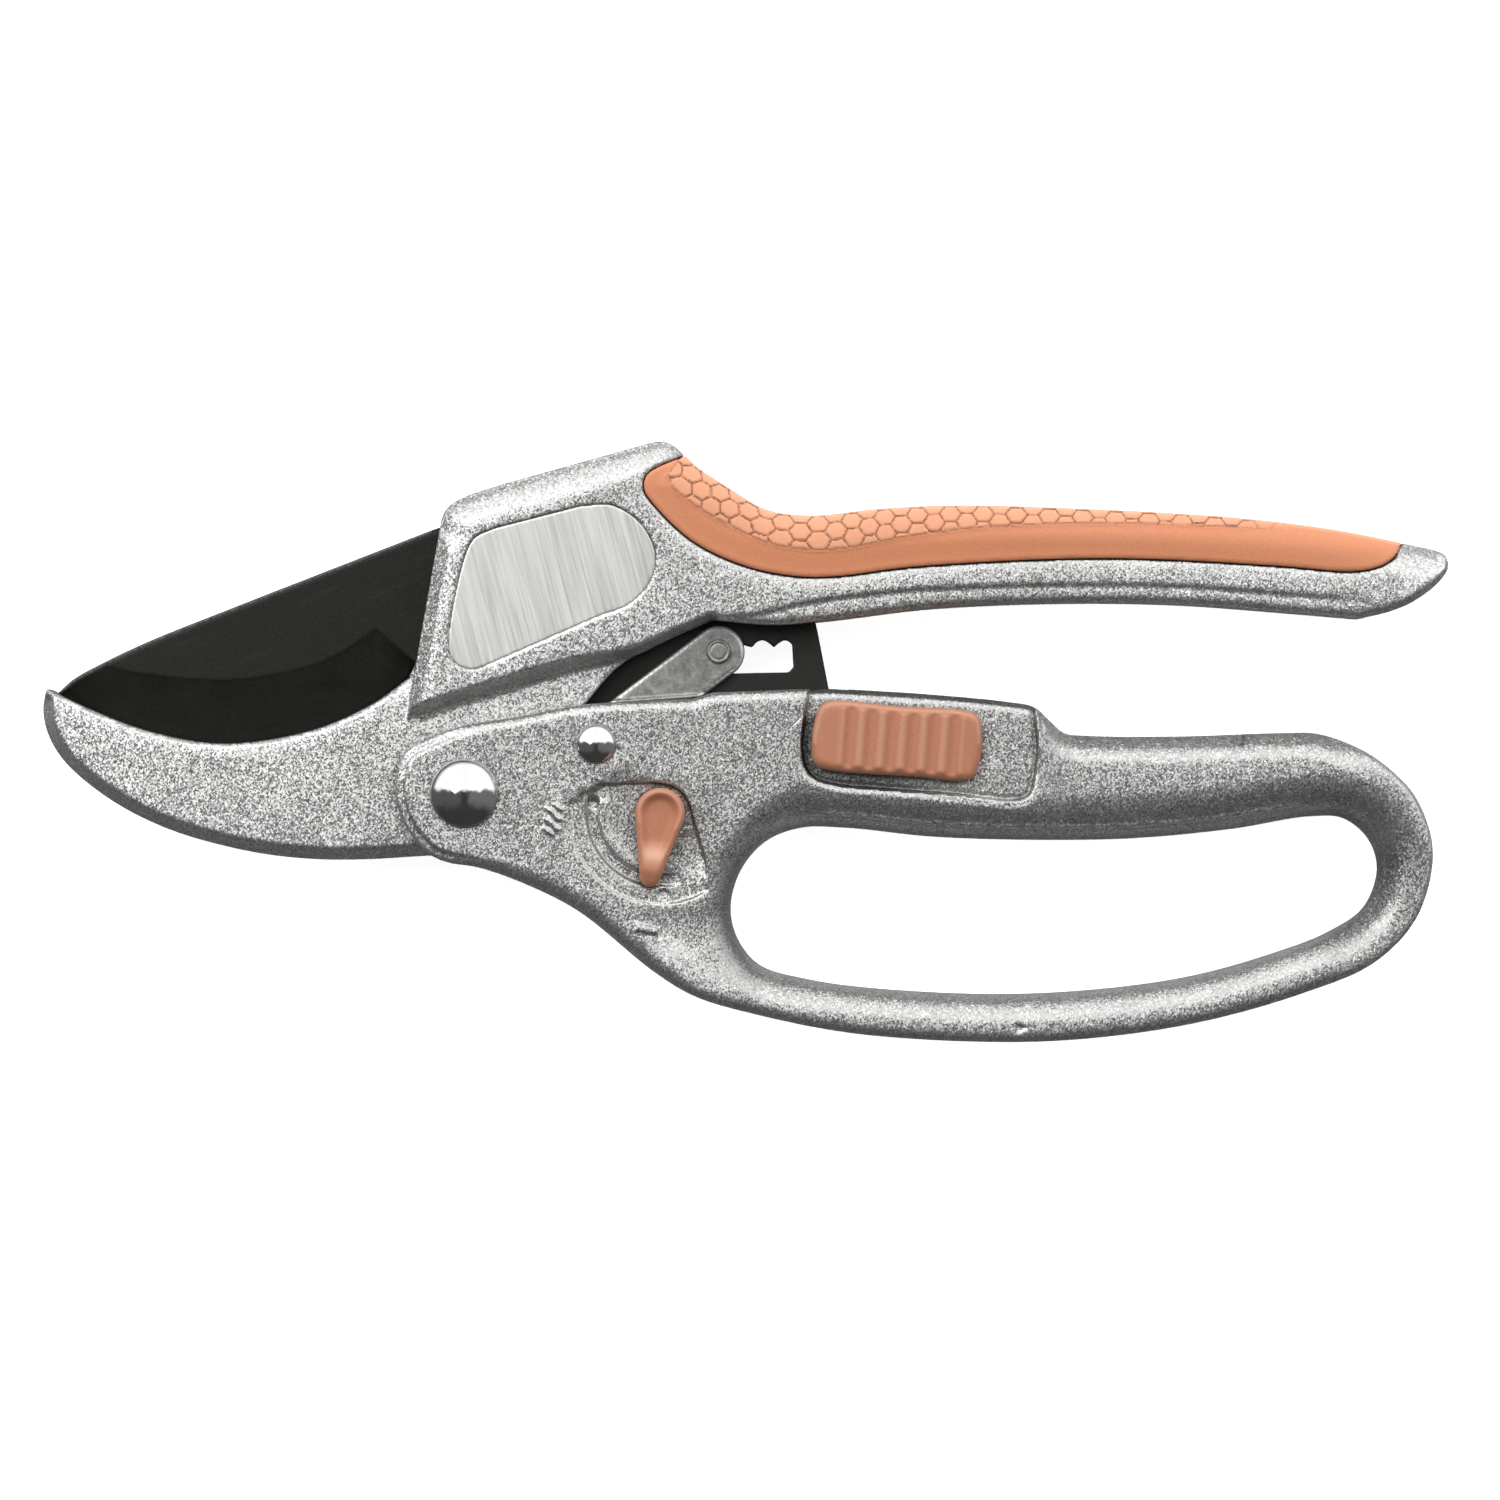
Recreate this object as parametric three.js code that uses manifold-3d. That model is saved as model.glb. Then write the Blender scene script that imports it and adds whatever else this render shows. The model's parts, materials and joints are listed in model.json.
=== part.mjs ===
// Ratchet anvil pruning shears, shown closed and lying on their side.
// Millimetres. +X runs from the jaw to the handle ends, +Y from the loop handle to the upper
// handle, +Z from the back face to the front face. Outlines are drawn in the plane of the tool with
// the main pivot at 0, 0 and the middle of the blade at Z 0.
import * as THREE from 'three';
import { mergeVertices } from 'three/addons/utils/BufferGeometryUtils.js';
import Module from 'manifold-3d';

const wasm = await Module();
wasm.setup();

// ---- Driving dimensions ----
const MAIN_PIVOT = [0, 0];
const LINK_PIVOT = [19.65, 7.35];
const LINK_PIN = [37.9, 21.2];
const BLADE_PIVOT = [17, 31];
const SELECTOR_PIVOT = [29.2, -2.9];
const LOCK_TILT = -4.6 * Math.PI / 180;

const BLADE_HALF = 1.5; // half the blade's thickness
const SLOT_HALF = 1.9; // half the slot that the blade runs in
const LUG_HALF = 5; // jaw and pivot lug of the frame
const CHEEK_INNER = 5.4; // inner face of the loop handle's cheeks
const BODY_HALF = 9; // head, upper handle and outside of the cheeks
const LOOP_HALF = 7.2; // finger loop
const GRIP_HALF = 9.8; // soft grip, proud of the upper handle
const GRIP_CORE_HALF = 7; // casting left under the soft grip
const RUN = 0.3; // gap between pieces that move on each other
const REST = 0.05; // gap between pieces that touch

const RIVET_RADIUS = 3;
const RIVET_HEAD_RADIUS = 5.1;
const RIVET_DOME = 2.5;
const RIVET_BACK = 2;
const BUSH_WALL = 0.9;
const LINK_RIVET_RADIUS = 1.9;
const LINK_HEAD_RADIUS = 2.9;
const LINK_WIDTH_HALF = 3.9;
const LINK_THICK = 1.5;
const PIN_RADIUS = 1.2;
const PIN_END_RADIUS = 1.4;
const PIN_HEAD_RADIUS = 1.8;
const BLADE_PIN_RADIUS = 4;
const BLADE_BUSH_RADIUS = 5.2;
const BADGE_THICK = 0.5;
const BADGE_RECESS = 0.75;
const LOCK_RECESS = 1.4;
const LOCK_PROUD = 1.4;
const SELECTOR_RECESS = 0.7;
const SELECTOR_PROUD = 2.2;
const CURVE_STEP = 3.2; // longest straight piece on a curved outline

// ---- Outlines: [x, y] lies on a smooth stretch, [x, y, CORNER] is a corner ----
const CORNER = 1;

const jawAndLug = [
  [-61.9, 15.4, CORNER], [-55.9, 12.6], [-47.1, 9.3], [-36.1, 7.5], [-22.9, 9.5], [-14.1, 13.3],
  [-8.4, 17.1, CORNER], [-4, 26, CORNER], [34, 30, CORNER], [37.4, 26.3, CORNER],
  [28.3, 22.2], [22.9, 18.9], [18, 13.3], [16, 10], [12.5, 4], [9.3, -1.6],
  [6.7, -6.7], [0, -9.5], [-5.4, -9.3], [-14.4, -9.9], [-23, -9.9], [-32.4, -8.7],
  [-44.4, -5.4], [-53.4, -0.8], [-60.2, 4.95], [-63.2, 11.5],
];

const headAndHandle = [
  [-8.6, 10.35, CORNER], [-7.05, 20.6], [-3.6, 40, CORNER], [-2.6, 42.4], [0.2, 44.3, CORNER],
  [28.3, 52.4, CORNER], [30.6, 52.4], [32.9, 50.2], [39.6, 45.4], [45, 42.3], [51.5, 41.4],
  [62, 42.5], [73.3, 42.9], [92.1, 42.4], [114.6, 41.1], [129.6, 39.4], [145, 36.2, CORNER],
  [146.8, 34.4], [146.2, 32.2], [141.6, 28.6], [134, 26.1], [122.1, 27.1], [107, 28.2],
  [90, 28.4], [69.6, 27.6], [54.6, 25.8], [46, 25.1], [36.9, 25.9], [25.1, 20.5, CORNER],
  [15.6, 18.2], [4.7, 14.9, CORNER],
];

const gripOutline = [
  [31.5, 52, CORNER], [28.2, 48.4], [26.7, 46.3], [28.1, 43.3], [34.1, 37.5], [42.2, 33.7],
  [51.5, 32.3], [66.3, 33.7], [88.8, 35], [112.2, 34.65], [132, 33.1], [136.6, 33.9],
  [140.4, 38.8, CORNER], [114.6, 42.1], [73.3, 43.9], [51.5, 42.4], [45, 43.3], [39.6, 46.4],
];

const gripCore = [
  [30.4, 45.6, CORNER], [40, 41.2, CORNER], [46, 39.2], [52, 39.1], [73.3, 40.7], [100, 39.9],
  [134.6, 36.1, CORNER], [134, 28.5, CORNER], [70, 29.5], [30.4, 33, CORNER],
];

const badgeOutline = [
  [0.4, 35.9], [2.2, 38.4], [5.2, 39.5, CORNER], [17.6, 42.7, CORNER], [23.2, 42.3], [27.2, 38.7],
  [28.2, 33], [25.2, 28.7], [20.2, 26.6, CORNER], [4.2, 19.6, CORNER], [0.6, 18.7], [-1.9, 20.6],
  [-2.1, 23.4],
];

const bladeOutline = [
  [-61, 14.6, CORNER], [-56.4, 18.1], [-50.4, 21.4], [-41.4, 25.2], [-29.4, 30, CORNER],
  [-5.4, 39.3, CORNER], [3, 42], [12, 43.2], [21, 42], [27.5, 37.5], [32.5, 31.6], [38, 28.4],
  [44, 28, CORNER], [51.8, 28, CORNER], [52.7, 24.4, CORNER], [54.6, 14.6, CORNER],
  [42, 14.1], [33, 13.6], [26, 12.4], [20, 11.8], [13, 13], [6, 15.4], [-2, 17.6],
  [-7.6, 18.6, CORNER], [-9, 15.8], [-14.4, 12.5], [-23.1, 8.8], [-36.1, 6.9], [-47.4, 8.6],
  [-56.2, 11.9],
];

// Window in the blade's tail: the pin works along its top edge, which has a seat at each step.
const tailWindow = [
  [35.6, 20.4], [36, 22.8], [38, 23.8], [40.4, 22.9], [41.6, 22.2, CORNER], [42.9, 21.8, CORNER],
  [43.6, 22.6], [44.5, 22.8], [45.4, 22.5], [46.2, 21.8, CORNER], [47.1, 22.6], [48.2, 22.8],
  [48.9, 22.3, CORNER], [49.1, 18.9, CORNER], [48.4, 18.1, CORNER], [38.2, 17.9, CORNER],
];

// Room for the blade inside the frame, at rest and all the way open. The anvil's floor is under
// the cutting edge, and the slot is open at the front, the top and under the upper handle.
const bladeSlot = [
  [-61.6, 30, CORNER], [-61.6, 14.4, CORNER], [-56.4, 11.4], [-47.5, 8.1], [-36.1, 6.4],
  [-23, 8.3], [-14.2, 12], [-8.8, 15.2, CORNER], [-6, 17.4, CORNER], [2, 15, CORNER], [8.5, 11.3],
  [17, 9.4], [22, 9.9, CORNER], [60, 9.9, CORNER], [60, 24, CORNER], [54, 24, CORNER],
  [54, 28.7, CORNER], [41, 28.8, CORNER], [36, 30.4, CORNER], [31.5, 36.6, CORNER],
  [24, 43, CORNER], [17, 45.2, CORNER], [12.5, 46.4, CORNER], [12.5, 60, CORNER],
  [-20, 60, CORNER],
];

const lowerHandle = [
  [-5.2, 8.3], [-0.7, 9.9], [8.5, 11.5], [17.7, 13.2], [34.9, 14.1, CORNER], [36.9, 15, CORNER],
  [54.1, 15.7, CORNER], [69, 14.9], [84, 13.2, CORNER], [88.3, 10], [92, 8.6], [107.1, 8.5],
  [122, 9], [131, 7.8], [137.1, 4.6], [142.3, -0.9], [144.7, -8.9], [142.3, -18.6],
  [136, -25.3], [125.8, -29.7], [110.8, -34], [95.8, -36.4], [80.8, -37.2], [58.3, -35.9],
  [43.4, -33], [34, -30.2], [25.6, -24.1], [17.1, -17.7], [9.6, -13.8], [2.1, -11.1],
  [-5.1, -9.1], [-8.2, -5.8], [-10, -1.4], [-9.9, 3.6], [-8.6, 6.4],
];

const fingerHole = [
  [39.7, -17.3], [41.6, -10.9], [46, -6.6], [54, -5], [69.6, -6.5], [84.6, -7], [99.6, -6.8],
  [114.6, -5.4], [128, -3.2], [133.6, -4.9], [136.6, -11], [134, -17.9], [122.1, -23.7],
  [107.1, -27.8], [84.6, -30.1], [62.1, -29.4], [50.9, -27.9], [44, -25.8],
];

// Thicker front part of the loop handle, with the two cheeks.
const cheekBody = [
  ...lowerHandle.slice(0, 8), [84, 13.2, CORNER], [89, 6, CORNER], [84, -1.6], [62, -0.6],
  [48, -1], [39, -5.5], [35, -14], [35, -22], [30, -27.3, CORNER], ...lowerHandle.slice(26),
];

// Space between the cheeks for the frame's lug, the links and the blade's tail.
const cheekPocket = [
  [-24, 34, CORNER], [-24, -24, CORNER], [1.4, -24, CORNER], [2.4, -9.9, CORNER], [6.9, -7.4],
  [9.85, -2.6, CORNER], [13.4, 3, CORNER], [16.4, 3.1], [19.7, 2.8], [24.4, 5.4],
  [29.6, 9.4, CORNER], [57, 9.4, CORNER], [57, 34, CORNER],
];

const camPocket = [
  [19.6, 9.8, CORNER], [19.6, 1.8, CORNER], [24.9, -2, CORNER], [24.9, -7.2, CORNER],
  [33.6, -7.2, CORNER], [33.6, 9.8, CORNER],
];

const lockPocket = [
  [54.5, 13.6, CORNER], [54.5, 3.8, CORNER], [84, 3.8, CORNER], [84, 9.5, CORNER],
  [68.6, 9.5, CORNER], [68.6, 13.6, CORNER],
];

const lockRecess = [
  [51.3, 20, CORNER], [50.9, 13.4], [50.3, 6.9], [51.3, 3], [54.4, 1.5], [63, 0.7], [73.7, 0],
  [82.3, -0.8], [84.6, 0.6], [85.4, 6], [84.9, 12.2, CORNER], [84.9, 20, CORNER],
];

const lockButton = [
  [54.4, 13.75, CORNER], [52.6, 11.6], [51.8, 8], [52.3, 4.3], [53.4, 3.65, CORNER],
  [74.6, 1.85, CORNER], [76.6, 3.2], [77.2, 7.4], [76.8, 11], [75.6, 12.1, CORNER],
];

const lockPlate = [
  [55.7, 13.1, CORNER], [55.7, 4.9, CORNER], [75.5, 4.9, CORNER], [75.5, 9, CORNER],
  [60, 9, CORNER], [58.5, 13.1, CORNER],
];

// ---- Shape helpers ----
// Points along an outline: straight between corners, a curve through the points in between.
function trace(outline) {
  const first = Math.max(outline.findIndex((p) => p[2]), 0);
  const turned = [...outline.slice(first), ...outline.slice(0, first)];
  if (!turned[0][2]) return sample(turned, true);
  const runs = [];
  turned.push(turned[0]);
  let run = [turned[0]];
  for (const point of turned.slice(1)) {
    run.push(point);
    if (point[2]) {
      runs.push(run);
      run = [point];
    }
  }
  return runs.flatMap((piece) => sample(piece, false).slice(0, -1));
}

function sample(points, closed) {
  if (points.length === 2) return points.map(([x, y]) => new THREE.Vector2(x, y));
  const knots = points.map(([x, y]) => new THREE.Vector3(x, y, 0));
  const curve = new THREE.CatmullRomCurve3(knots, closed, 'centripetal');
  const pieces = Math.max(points.length - 1, Math.ceil(curve.getLength() / CURVE_STEP));
  const spread = curve.getSpacedPoints(pieces).map((p) => new THREE.Vector2(p.x, p.y));
  return closed ? spread.slice(0, -1) : spread;
}

// The outline moved outwards by a distance, or inwards if it is negative.
function grow(points, distance) {
  const turn = THREE.ShapeUtils.area(points) > 0 ? 1 : -1;
  return points.map((point, i) => {
    const before = points[(i + points.length - 1) % points.length];
    const after = points[(i + 1) % points.length];
    const a = point.clone().sub(before).normalize();
    const b = after.clone().sub(point).normalize();
    const normal = new THREE.Vector2(a.y + b.y, -a.x - b.x).normalize().multiplyScalar(turn);
    const lean = Math.max(normal.dot(new THREE.Vector2(a.y, -a.x)) * turn, 0.5);
    return point.clone().addScaledVector(normal, distance / lean);
  });
}

function solid(geometry) {
  const bare = geometry.clone();
  bare.deleteAttribute('normal');
  bare.deleteAttribute('uv');
  const merged = mergeVertices(bare, 1e-4);
  return new wasm.Manifold(new wasm.Mesh({
    numProp: 3,
    vertProperties: new Float32Array(merged.attributes.position.array),
    triVerts: new Uint32Array(merged.index.array),
  }));
}

// A flat piece of an outline between two heights, with its edges bevelled.
function slab(points, low, high, bevel = 0) {
  const geometry = new THREE.ExtrudeGeometry(new THREE.Shape(points), {
    depth: high - low - 2 * bevel,
    bevelEnabled: bevel > 0,
    bevelThickness: bevel,
    bevelSize: bevel,
    bevelOffset: -bevel,
    bevelSegments: 1,
    steps: 1,
  });
  return solid(geometry.translate(0, 0, low + bevel));
}

function plate(outline, half, bevel = 0) {
  return slab(trace(outline), -half, half, bevel);
}

// A turned piece on an axis along Z. The profile is [radius, z] from low to high.
function turned([x, y], profile, sides = 28) {
  const points = profile.map(([radius, z]) => new THREE.Vector2(radius, z));
  const lathe = new THREE.LatheGeometry(points, sides);
  return solid(lathe.rotateX(Math.PI / 2).translate(x, y, 0));
}

function disc(centre, radius, low, high, sides = 28) {
  return turned(centre, [[0, low], [radius, low], [radius, high], [0, high]], sides);
}

function ring(centre, inner, outer, low, high, sides = 28) {
  const bore = disc(centre, inner, low - 1, high + 1, sides);
  return disc(centre, outer, low, high, sides).subtract(bore);
}

// The straight-sided outline that wraps two circles.
function belt([x1, y1], r1, [x2, y2], r2, steps = 10) {
  const heading = Math.atan2(y2 - y1, x2 - x1);
  const half = Math.acos((r1 - r2) / Math.hypot(x2 - x1, y2 - y1));
  const points = [];
  for (let i = 0; i <= steps; i += 1) {
    const angle = heading - half + 2 * half * i / steps;
    points.push(new THREE.Vector2(x2 + r2 * Math.cos(angle), y2 + r2 * Math.sin(angle)));
  }
  for (let i = 0; i <= steps; i += 1) {
    const angle = heading + half + 2 * (Math.PI - half) * i / steps;
    points.push(new THREE.Vector2(x1 + r1 * Math.cos(angle), y1 + r1 * Math.sin(angle)));
  }
  return points;
}

// A round wire of a given radius along a curve through points.
function wire(points, radius, steps, sides = 6) {
  const curve = new THREE.CatmullRomCurve3(points, false, 'centripetal');
  const section = new THREE.Shape(
    Array.from({ length: sides }, (unused, i) => new THREE.Vector2(
      radius * Math.cos(2 * Math.PI * i / sides),
      radius * Math.sin(2 * Math.PI * i / sides),
    )),
  );
  return solid(new THREE.ExtrudeGeometry(section, {
    steps, bevelEnabled: false, extrudePath: curve,
  }));
}

// Points of a coil on an axis along Z, with straight legs out to two places.
function coil([x, y], radius, low, high, turns, start, legIn, legOut) {
  const perTurn = 10;
  const count = Math.round(turns * perTurn);
  const points = legIn ? [new THREE.Vector3(legIn[0], legIn[1], low)] : [];
  for (let i = 0; i <= count; i += 1) {
    const angle = start + 2 * Math.PI * i / perTurn;
    const z = low + (high - low) * i / count;
    points.push(new THREE.Vector3(x + radius * Math.cos(angle), y + radius * Math.sin(angle), z));
  }
  if (legOut) points.push(new THREE.Vector3(legOut[0], legOut[1], high));
  return points;
}

// ---- Materials ----
function finish(color, roughness, metalness) {
  return new THREE.MeshStandardMaterial({ color, roughness, metalness });
}
const castPaint = finish(0xa9a9a8, 0.5, 0.6);
const softOrange = finish(0xdc8c64, 0.65, 0);
const hardOrange = finish(0xd9875a, 0.45, 0);
const blackCoat = finish(0x2b2927, 0.45, 0.3);
const zincSteel = finish(0xa2a29c, 0.45, 0.9);
const chrome = finish(0xe8e8e8, 0.12, 1);
const brushed = finish(0xc8c8c4, 0.35, 0.9);
const bronze = finish(0xa67c45, 0.4, 0.9);
const springSteel = finish(0x77777a, 0.35, 0.9);

const shears = new THREE.Group();

function add(name, shape, material) {
  const { vertProperties, triVerts } = shape.getMesh();
  const geometry = new THREE.BufferGeometry();
  geometry.setAttribute('position', new THREE.BufferAttribute(vertProperties, 3));
  geometry.setIndex(new THREE.BufferAttribute(triVerts, 1));
  geometry.computeVertexNormals();
  const mesh = new THREE.Mesh(geometry, material);
  mesh.name = name;
  shears.add(mesh);
}

// ---- Frame: jaw with anvil, pivot lug, head and upper handle in one casting ----
const BADGE_FLOOR = BODY_HALF - BADGE_RECESS;
const SPRING_BAY_HALF = 2.6;
const SPRING_BAY_RADIUS = 7.2;
const badgePoints = trace(badgeOutline);
const gripRoom = plate(gripOutline, 20).subtract(plate(gripCore, GRIP_CORE_HALF));
const legRoom = slab([[0, 3], [20, 3], [20, -14], [2, -14]].map(
  ([x, y]) => new THREE.Vector2(x, y),
), -SPRING_BAY_HALF, SPRING_BAY_HALF);
const bushRadius = RIVET_RADIUS + RUN + BUSH_WALL;

add('frame_casting', plate(jawAndLug, LUG_HALF, 1)
  .add(plate(headAndHandle, BODY_HALF, 1.8))
  .subtract(plate(bladeSlot, SLOT_HALF))
  .subtract(gripRoom)
  .subtract(slab(grow(badgePoints, 0.15), BADGE_FLOOR, 20))
  .subtract(slab(grow(badgePoints, 0.15), -20, -BADGE_FLOOR))
  .subtract(disc(BLADE_PIVOT, BLADE_PIN_RADIUS + REST, -20, 20))
  .subtract(disc(MAIN_PIVOT, bushRadius + REST, -20, 20))
  .subtract(disc(MAIN_PIVOT, SPRING_BAY_RADIUS, -SPRING_BAY_HALF, SPRING_BAY_HALF))
  .subtract(legRoom), castPaint);

// Soft grip: a cap over the top of the upper handle that reaches down both sides.
const coreInside = slab(grow(trace(gripCore), REST), -GRIP_CORE_HALF - REST, GRIP_CORE_HALF + REST);
add('handle_grip', slab(grow(trace(gripOutline), -0.1), -GRIP_HALF, GRIP_HALF, 1.6)
  .subtract(coreInside), softOrange);

const badgeLow = BADGE_FLOOR + REST;
add('badge_front', slab(badgePoints, badgeLow, badgeLow + BADGE_THICK), brushed);
add('badge_back', slab(badgePoints, -badgeLow - BADGE_THICK, -badgeLow), brushed);
add('blade_pivot_pin', disc(BLADE_PIVOT, BLADE_PIN_RADIUS, 0.1 - BADGE_FLOOR, BADGE_FLOOR - 0.1),
  zincSteel);
add('main_bush', ring(MAIN_PIVOT, RIVET_RADIUS + RUN, bushRadius, -LUG_HALF, LUG_HALF), bronze);

// ---- Blade ----
add('blade', plate(bladeOutline, BLADE_HALF)
  .subtract(plate(tailWindow, 5))
  .subtract(disc(BLADE_PIVOT, BLADE_BUSH_RADIUS + REST, -5, 5)), blackCoat);
add('blade_bush', ring(BLADE_PIVOT, BLADE_PIN_RADIUS + RUN, BLADE_BUSH_RADIUS,
  -BLADE_HALF, BLADE_HALF), bronze);

// ---- Loop handle ----
const CAM_BAY_HALF = 2.6;
const SHAFT_RADIUS = 1.5;
const SHAFT_LOW = -6;
const BALL_RADIUS = 0.8;
const BALL_PLACE = [SELECTOR_PIVOT[0] - 1.9, SELECTOR_PIVOT[1] + 1.9];
const BALL_BORE_LOW = 5.7;
const selectorFloor = BODY_HALF - SELECTOR_RECESS;
const lockFloor = BODY_HALF - LOCK_RECESS;
const LOCK_TRAVEL = 7.5;
const STEM = { x: 64.5, y: 7, long: 4, high: 2.6 };

// A box turned by the lock's tilt about its left end.
function tiltedBox(x, y, long, high, low, top) {
  const box = new THREE.BoxGeometry(long, high, top - low).translate(long / 2, 0, 0);
  return solid(box.rotateZ(LOCK_TILT).translate(x, y, (low + top) / 2));
}

// The selector sits in a sunk field: a quarter disc about its pivot with a straight top edge.
const selectorField = [
  [19.4, 1.4, CORNER], [29.7, 1.6], [32.6, 0.2], [34.3, -3.6], [36, -10.3, CORNER],
  [32.6, -15.9, CORNER], [26, -16.2], [19.4, -12.7], [15.9, -6.6], [15.7, 0, CORNER],
];

const loopRing = plate(lowerHandle, LOOP_HALF, 2.4)
  .subtract(slab(trace(fingerHole), -20, 20));
add('loop_handle', loopRing
  .add(plate(cheekBody, BODY_HALF, 1.2).subtract(slab(trace(fingerHole), -20, 20)))
  .subtract(plate(cheekPocket, CHEEK_INNER))
  .subtract(plate(camPocket, CAM_BAY_HALF))
  .subtract(plate(lockPocket, 2.3))
  .subtract(slab(trace(lockRecess), lockFloor, 20))
  .subtract(tiltedBox(STEM.x - 0.4, STEM.y, STEM.long + LOCK_TRAVEL + 0.8, STEM.high + 0.8, 0, 20))
  .subtract(slab(trace(selectorField), selectorFloor, 20))
  .subtract(disc(SELECTOR_PIVOT, SHAFT_RADIUS + RUN, SHAFT_LOW - RUN, 20))
  .subtract(disc(BALL_PLACE, BALL_RADIUS + 0.1, BALL_BORE_LOW, 20, 14))
  .subtract(disc(MAIN_PIVOT, RIVET_RADIUS + REST, -20, 20))
  .subtract(disc(LINK_PIVOT, LINK_RIVET_RADIUS + REST, -20, 20)), castPaint);

// A rivet through both cheeks: a domed head in front and a flat one behind.
function rivet(centre, shank, head, dome, back) {
  const seat = BODY_HALF + REST;
  const profile = [[0, -seat - back], [head - 0.3, -seat - back], [head, -seat - back + 0.3],
    [head, -seat], [shank, -seat], [shank, seat], [head, seat]];
  const steps = 5;
  for (let i = 1; i < steps; i += 1) {
    const angle = Math.PI / 2 * i / steps;
    profile.push([head * Math.cos(angle), seat + dome * Math.sin(angle)]);
  }
  profile.push([0, seat + dome]);
  return turned(centre, profile, 32);
}
add('main_rivet', rivet(MAIN_PIVOT, RIVET_RADIUS, RIVET_HEAD_RADIUS, RIVET_DOME, RIVET_BACK),
  chrome);
add('link_rivet', rivet(LINK_PIVOT, LINK_RIVET_RADIUS, LINK_HEAD_RADIUS, 1.5, 0.8), chrome);

// ---- Link: two plates either side of the blade, joined by the ratchet pin ----
const linkNear = SLOT_HALF + REST;
const linkFar = linkNear + LINK_THICK;
for (const [side, low, high] of [['front', linkNear, linkFar], ['back', -linkFar, -linkNear]]) {
  add(`link_plate_${side}`, slab(belt(LINK_PIVOT, LINK_WIDTH_HALF, LINK_PIN, LINK_WIDTH_HALF),
    low, high)
    .subtract(disc(LINK_PIVOT, LINK_RIVET_RADIUS + RUN, -9, 9))
    .subtract(disc(LINK_PIN, PIN_END_RADIUS + REST, -9, 9, 20)), zincSteel);
}
const headLow = linkFar + REST;
const headHigh = headLow + 0.4;
add('link_pin', turned(LINK_PIN, [
  [0, -headHigh], [PIN_HEAD_RADIUS, -headHigh], [PIN_HEAD_RADIUS, -headLow],
  [PIN_END_RADIUS, -headLow], [PIN_END_RADIUS, -linkNear], [PIN_RADIUS, -linkNear],
  [PIN_RADIUS, linkNear], [PIN_END_RADIUS, linkNear], [PIN_END_RADIUS, headLow],
  [PIN_HEAD_RADIUS, headLow], [PIN_HEAD_RADIUS, headHigh], [0, headHigh],
], 20), zincSteel);

const washerInner = LINK_RIVET_RADIUS + REST;
add('link_washer_front', ring(LINK_PIVOT, washerInner, 3.6, linkFar + RUN, CHEEK_INNER - REST),
  zincSteel);
add('link_washer_back', ring(LINK_PIVOT, washerInner, 3.6, REST - CHEEK_INNER, -linkFar - RUN),
  zincSteel);
add('link_spacer', ring(LINK_PIVOT, washerInner, 2.5, RUN - linkNear, linkNear - RUN), zincSteel);

// ---- Springs ----
add('return_spring', wire(coil(MAIN_PIVOT, 5.7, -1.8, 1.8, 2.5, 0.5 * Math.PI,
  null, [6.2, -6.2]), 0.6, 60), springSteel);
add('link_spring', wire(coil(LINK_PIVOT, 3.05, -1, 1, 2, -0.6 * Math.PI, null,
  [24.2, 2.6]), 0.35, 44), springSteel);

// ---- Selector: lever in front, shaft with a cam in the handle, ball detent under the lever ----
const leverLow = selectorFloor + RUN;
const leverTip = [27.7, -12.5];
add('selector_lever', slab(belt(SELECTOR_PIVOT, 3.7, leverTip, 1.5, 12), leverLow,
  BODY_HALF + SELECTOR_PROUD, 0.7), hardOrange);
const camPoints = belt(SELECTOR_PIVOT, 2.4, [SELECTOR_PIVOT[0], SELECTOR_PIVOT[1] + 1.8], 1.6, 8);
add('selector_shaft', disc(SELECTOR_PIVOT, SHAFT_RADIUS, SHAFT_LOW, leverLow - REST, 20)
  .add(slab(camPoints, -2, 2)), zincSteel);
const ballTop = leverLow - REST;
add('detent_ball', solid(new THREE.SphereGeometry(BALL_RADIUS, 12, 8)
  .translate(BALL_PLACE[0], BALL_PLACE[1], ballTop - BALL_RADIUS)), chrome);
add('detent_spring', wire(coil(BALL_PLACE, 0.55, BALL_BORE_LOW + 0.2,
  ballTop - 2 * BALL_RADIUS - 0.2, 3, 0, null, null), 0.15, 36, 5), springSteel);

// ---- Lock: slider button in front, steel plate in the handle ----
const buttonLow = lockFloor + RUN;
add('lock_button', slab(trace(lockButton), buttonLow, BODY_HALF + LOCK_PROUD, 0.7), hardOrange);
add('lock_plate', plate(lockPlate, 1.7)
  .add(tiltedBox(STEM.x, STEM.y, STEM.long, STEM.high, 0, buttonLow - REST)), zincSteel);

// The origin is under the middle of the whole tool.
const box = new THREE.Box3().setFromObject(shears);
const middle = box.getCenter(new THREE.Vector3());
shears.position.set(-middle.x, -middle.y, -box.min.z);

export default shears;
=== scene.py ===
import json
import math

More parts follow.
